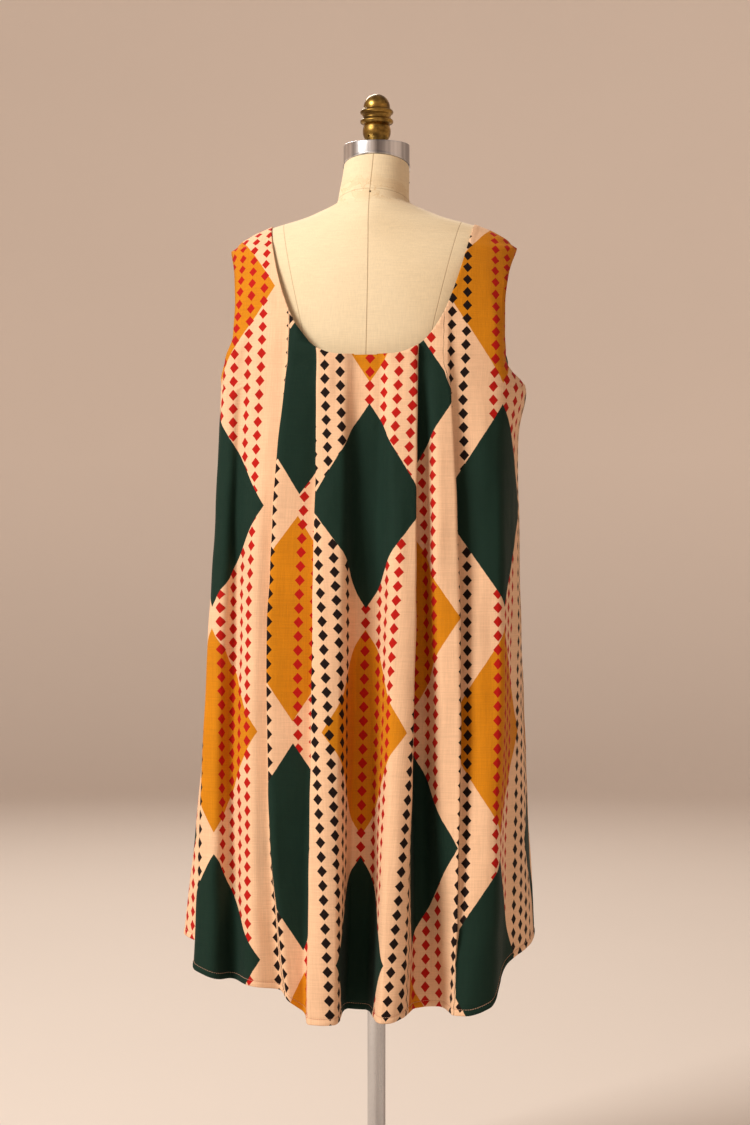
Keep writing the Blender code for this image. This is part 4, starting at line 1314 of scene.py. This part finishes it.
def build_cap(materials):
    """Return the neck cap, with a rolled lip round its slanted lower edge."""
    bottom = NECK_TOP + FIT_GAP
    profile = [
        (0.0, CAP_TOP),
        *((CAP_RADIUS + row.out, CAP_TOP + row.up) for row in CAP_CROWN),
        *arc(CAP_ROUND, CAP_RADIUS - CAP_ROUND, CAP_TOP - CAP_ROUND, 85, 5, 6),
        (CAP_RADIUS, CAP_TOP - CAP_BAND_TOP),
        *((CAP_RADIUS + row.out, bottom + row.up) for row in CAP_LIP),
        (0.0, bottom),
    ]
    cap = turned("chrome_cap", profile, CAP_SIDES, materials)
    for vertex in cap.data.vertices:
        drop = smooth_step((bottom + CAP_SLANT_FROM - vertex.co.z) / CAP_SLANT_BLEND)
        vertex.co.z -= vertex.co.y * CAP_SLANT * drop
        vertex.co.y += NECK_CENTRE_Y
    return cap


def set_screw_cutter(base):
    """Return the round bar that cuts the set screw's hole into the finial."""
    rings = [
        [
            (SET_SCREW_RADIUS * math.cos(a), SET_SCREW_RADIUS * math.sin(a), end)
            for a in ring_angles(SET_SCREW_SIDES)
        ]
        for end in (-SET_SCREW_DEPTH / 2, SET_SCREW_DEPTH / 2)
    ]
    cutter = new_piece("hole_shape", *tube(rings), [])
    cutter.rotation_euler = (math.radians(90), 0.0, SET_SCREW_TURN)
    out = Vector((math.sin(SET_SCREW_TURN), -math.cos(SET_SCREW_TURN), 0.0))
    cutter.location = base + out * SET_SCREW_REACH + Vector((0, 0, SET_SCREW_HEIGHT))
    return cutter


def build_finial(materials):
    """Return the finial, with the hole of its set screw."""
    profile = [(0.0, FINIAL_HEIGHT)]
    for item in FINIAL_ARCS:
        profile.extend(arc(*item[1:]))
    profile.extend([(FINIAL_FOOT, 0.0), (0.0, 0.0)])
    finial = turned("brass_finial", profile, FINIAL_SIDES, materials, FINIAL_SHARP)
    base = Vector((0.0, NECK_CENTRE_Y, CAP_TOP + FIT_GAP))
    for vertex in finial.data.vertices:
        vertex.co += base
    cutter = set_screw_cutter(base)
    cut = finial.modifiers.new("set_screw_hole", "BOOLEAN")
    cut.operation = "DIFFERENCE"
    cut.solver = "EXACT"
    cut.object = cutter
    bpy.context.view_layer.update()
    depsgraph = bpy.context.evaluated_depsgraph_get()
    mesh = bpy.data.meshes.new_from_object(finial.evaluated_get(depsgraph))
    finial.modifiers.clear()
    finial.data = mesh
    mesh.set_sharp_from_angle(angle=math.radians(FINIAL_SHARP))
    bpy.data.objects.remove(cutter)
    return finial


def build_base(material):
    """Return the round base, with the socket that the pole stands in."""
    socket = POLE_RADIUS + SOCKET_PLAY
    edge = (BASE_RADIUS - BASE_EDGE_ROUND, BASE_EDGE_HEIGHT - BASE_EDGE_ROUND)
    profile = [
        (0.0, POLE_SOCKET_FLOOR),
        (socket, POLE_SOCKET_FLOOR),
        (socket, HUB_TOP - HUB_LIP),
        (socket + HUB_LIP, HUB_TOP),
        (HUB_RADIUS - HUB_CHAMFER, HUB_TOP),
        *arc(HUB_CHAMFER, HUB_RADIUS - HUB_CHAMFER, HUB_TOP - HUB_CHAMFER, 75, 0, 6),
        *arc(HUB_FILLET, HUB_RADIUS + HUB_FILLET, HUB_FILLET_TOP, 180, 262, 14),
        *arc(BASE_CROWN_ROUND, BASE_CROWN_RADIUS, BASE_CROWN_HEIGHT - BASE_CROWN_ROUND, 90, 80, 4),
        *arc(BASE_EDGE_ROUND, *edge, 82, 0, 10),
        (BASE_RADIUS, EDGE_BREAK),
        (BASE_RADIUS - EDGE_BREAK, 0.0),
        (0.0, 0.0),
    ]
    return turned("iron_base", profile, BASE_SIDES, [material], sharp=50)


def build_pole(material):
    bottom = POLE_SOCKET_FLOOR + FIT_GAP
    top = FORM_BOTTOM + FORM_SOCKET_DEPTH - FIT_GAP
    inner = POLE_RADIUS - EDGE_BREAK
    profile = [
        (0.0, top),
        (inner, top),
        (POLE_RADIUS, top - EDGE_BREAK),
        (POLE_RADIUS, bottom + EDGE_BREAK),
        (inner, bottom),
        (0.0, bottom),
    ]
    return turned("steel_pole", profile, POLE_SIDES, [material])


def build_pins(material):
    """Return the small tack heads round the form's neck as one piece."""
    profile = [
        (0.0, PIN_RISE),
        *arc(PIN_RADIUS, 0.0, PIN_RISE - PIN_RADIUS, 66, 34, 5),
        (PIN_RADIUS * PIN_FOOT_SHARE, -PIN_RISE),
        (0.0, -PIN_RISE),
    ]
    head_points, head_faces = turned_shape(profile, PIN_SIDES)
    heads = []
    for pin in PINS:
        spot = Vector(form_point(pin.z, math.radians(pin.angle)))
        beside = Vector(form_point(pin.z, math.radians(pin.angle + PIN_PROBE_TURN))) - spot
        above = Vector(form_point(pin.z + PIN_PROBE_RISE, math.radians(pin.angle))) - spot
        turn = Vector((0, 0, 1)).rotation_difference(beside.cross(above))
        heads.append(([turn @ Vector(point) + spot for point in head_points], head_faces))
    return new_piece("neck_tacks", *joined(heads), [material])


def metal_material(metal):
    """Return a worn metal, with streaks or patches of a darker tone."""
    graph = Graph(metal.name, metal.roughness, metal.color, 1.0)
    place = graph.place()
    streak = graph.noise(place, metal.stretch, 3.0)
    speck = graph.noise(place, METAL_SPECKS, 2.0)
    tone = graph.ramp(streak, (0.40, 0.64), (0.0, metal.amount))
    color = graph.mix(tone, metal.color, metal.dark)
    color = graph.mix(graph.ramp(speck, (0.58, 0.72), (0.0, 0.35)), color, metal.dark)
    rough = (metal.roughness, metal.roughness * WORN_ROUGHER)
    graph.set("Base Color", color)
    graph.set("Roughness", graph.ramp(streak, (0.3, 0.7), rough))
    graph.bump(speck, METAL_RELIEF, 0.4)
    return graph.material


def cap_material():
    """Return brushed chrome, with broad dark and bright bands of painted reflection round the band
    and the fine streaks of its turning.
    """
    graph = Graph("brushed_chrome", 0.16, CHROME, 1.0)
    x, y, z = graph.split(graph.place())
    angle = graph.math("ARCTAN2", y, x)
    # Painted reflection: broad dark and bright bands in the colour round the band, with the
    # turning's narrow streaks mixed in.
    reflection_bands = graph.noise(graph.pair(graph.math("MULTIPLY", angle, CHROME_REFLECTION_BAND_WAVES), 3.0))
    narrow = graph.noise(graph.pair(graph.math("MULTIPLY", angle, CHROME_NARROW), z), detail=3.0)
    tone = graph.math("MULTIPLY", reflection_bands, 1 - CHROME_NARROW_SHARE)
    tone = graph.math("MULTIPLY_ADD", narrow, CHROME_NARROW_SHARE, tone)
    graph.set("Base Color", graph.mix(graph.ramp(tone, (0.40, 0.60)), CHROME_PAINTED_DARK_REFLECTION, CHROME_PAINTED_BRIGHT_REFLECTION))
    graph.set("Roughness", graph.ramp(narrow, (0.3, 0.7), (0.32, 0.40)))
    tangent = graph.add("ShaderNodeTangent", {}, direction_type="RADIAL", axis="Z")
    graph.set("Tangent", tangent.outputs[0])
    graph.fix({"Anisotropic": 0.72, "Anisotropic Rotation": 0.25})
    return graph.material


def paint_material():
    """Return the base's black paint over rough cast iron, worn in places."""
    graph = Graph("black_paint", 0.42, PAINT_MEAN)
    place = graph.place()
    cast = graph.noise(place, PAINT_CAST, 4.0)
    wear = graph.noise(place, PAINT_WEAR, 5.0)
    worn = graph.ramp(wear, (0.55, 0.75), (0.0, 0.5))
    graph.set("Base Color", graph.mix(worn, PAINT, PAINT_WORN))
    graph.set("Roughness", graph.ramp(wear, (0.35, 0.7), (0.34, 0.62)))
    graph.bump(cast, PAINT_RELIEF, 0.5)
    return graph.material


def stage_material():
    """Return the studio's matt paint, darker on the floor and paler up the wall: painted shade and
    painted light that even out the lamps.
    """
    graph = Graph("backdrop", 0.95, WALL)
    place = graph.place()
    tone = graph.noise(place, WALL_CLOUD_STRETCH, 3.0)
    # Painted light: the colour grows paler from the floor's painted shade up the wall.
    color = graph.mix(graph.ramp(graph.split(place)[2], (0.0, WALL_FROM)), FLOOR, WALL)
    graph.set("Base Color", graph.mix(tone, color, WALL_CLOUD, "MULTIPLY"))
    graph.fix({"Specular IOR Level": 0.1})
    return graph.material


def build_stage():
    """Return a round studio floor that bends up into a pale wall on all sides."""
    profile = [
        (0.0, 0.0),
        (FLOOR_RADIUS, 0.0),
        *arc(BACKDROP_BEND, BACKDROP_RADIUS - BACKDROP_BEND, BACKDROP_BEND, -90, 0, 16),
        (BACKDROP_RADIUS, BACKDROP_TOP),
    ]
    floor = turned("studio_floor", profile, BACKDROP_SIDES, [stage_material()], sharp=60)
    floor.location.z = -FLOOR_DROP
    return floor


def add_window(window):
    """Add one broad soft light that faces the dress."""
    lamp = bpy.data.lights.new(window.name, "AREA")
    lamp.shape = "RECTANGLE"
    lamp.size, lamp.size_y = WINDOW_SIZE
    lamp.energy = window.power
    lamp.color = WINDOW_COLOR
    lamp.spread = WINDOW_SPREAD
    item = bpy.data.objects.new(window.name, lamp)
    item.location = (window.x, window.y, window.z)
    facing = item.location - Vector(WINDOW_TARGET)
    item.rotation_euler = facing.to_track_quat("Z", "Y").to_euler()
    bpy.context.scene.collection.objects.link(item)


def set_world():
    world = bpy.data.worlds.new("studio_air")
    world.use_nodes = True
    background = world.node_tree.nodes["Background"]
    background.inputs["Color"].default_value = (*AIR_COLOR, 1.0)
    background.inputs["Strength"].default_value = AIR_STRENGTH
    bpy.context.scene.world = world


def set_camera():
    lens = bpy.data.cameras.new("camera")
    lens.sensor_width = SENSOR
    lens.lens = FOCAL_LENGTH / PHOTO_HEIGHT * SENSOR
    lens.shift_x = SIDE_SHIFT / PHOTO_HEIGHT
    camera = bpy.data.objects.new("camera", lens)
    across, back = math.sin(CAMERA_TURN) * CAMERA_AWAY, math.cos(CAMERA_TURN) * CAMERA_AWAY
    camera.location = (across, -back, CAMERA_HEIGHT)
    camera.rotation_euler = (math.radians(90), 0.0, CAMERA_TURN)
    bpy.context.scene.collection.objects.link(camera)
    bpy.context.scene.camera = camera


def add_dress():
    """Add both sides of the dress and their hems' stitches."""
    cotton = [
        cotton_material("printed_cotton", False), cotton_material("cotton_reverse", True),
        thread_material(),
    ]
    for cloth in (BACK, FRONT):
        sheet, stitches, flat, area = build_cloth(cloth, cotton)
        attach(sheet, "root")
        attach(stitches, "root")
        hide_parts("dress_" + cloth.name)


def add_form_and_stand():
    """Add the form, its cap, finial and tacks, the pole and the base."""
    brass, tarnish, steel = (metal_material(metal) for metal in METALS)
    for piece, node, slot in (
        (build_form([linen_material()]), "form_torso", "linen"),
        (build_cap([cap_material()]), "neck_cap", "chrome"),
        (build_finial([brass]), "finial", "brass"),
        (build_pole(steel), "pole", "bright_steel"),
        (build_base(paint_material()), "stand_base", "painted_iron"),
    ):
        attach(piece, "root")
        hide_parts(node)
    tacks = build_pins(tarnish)
    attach(tacks, "root")


bpy.context.scene.view_settings.view_transform = "Standard"
add_dress()
add_form_and_stand()
build_stage()
set_world()
for window in WINDOWS:
    add_window(window)
set_camera()
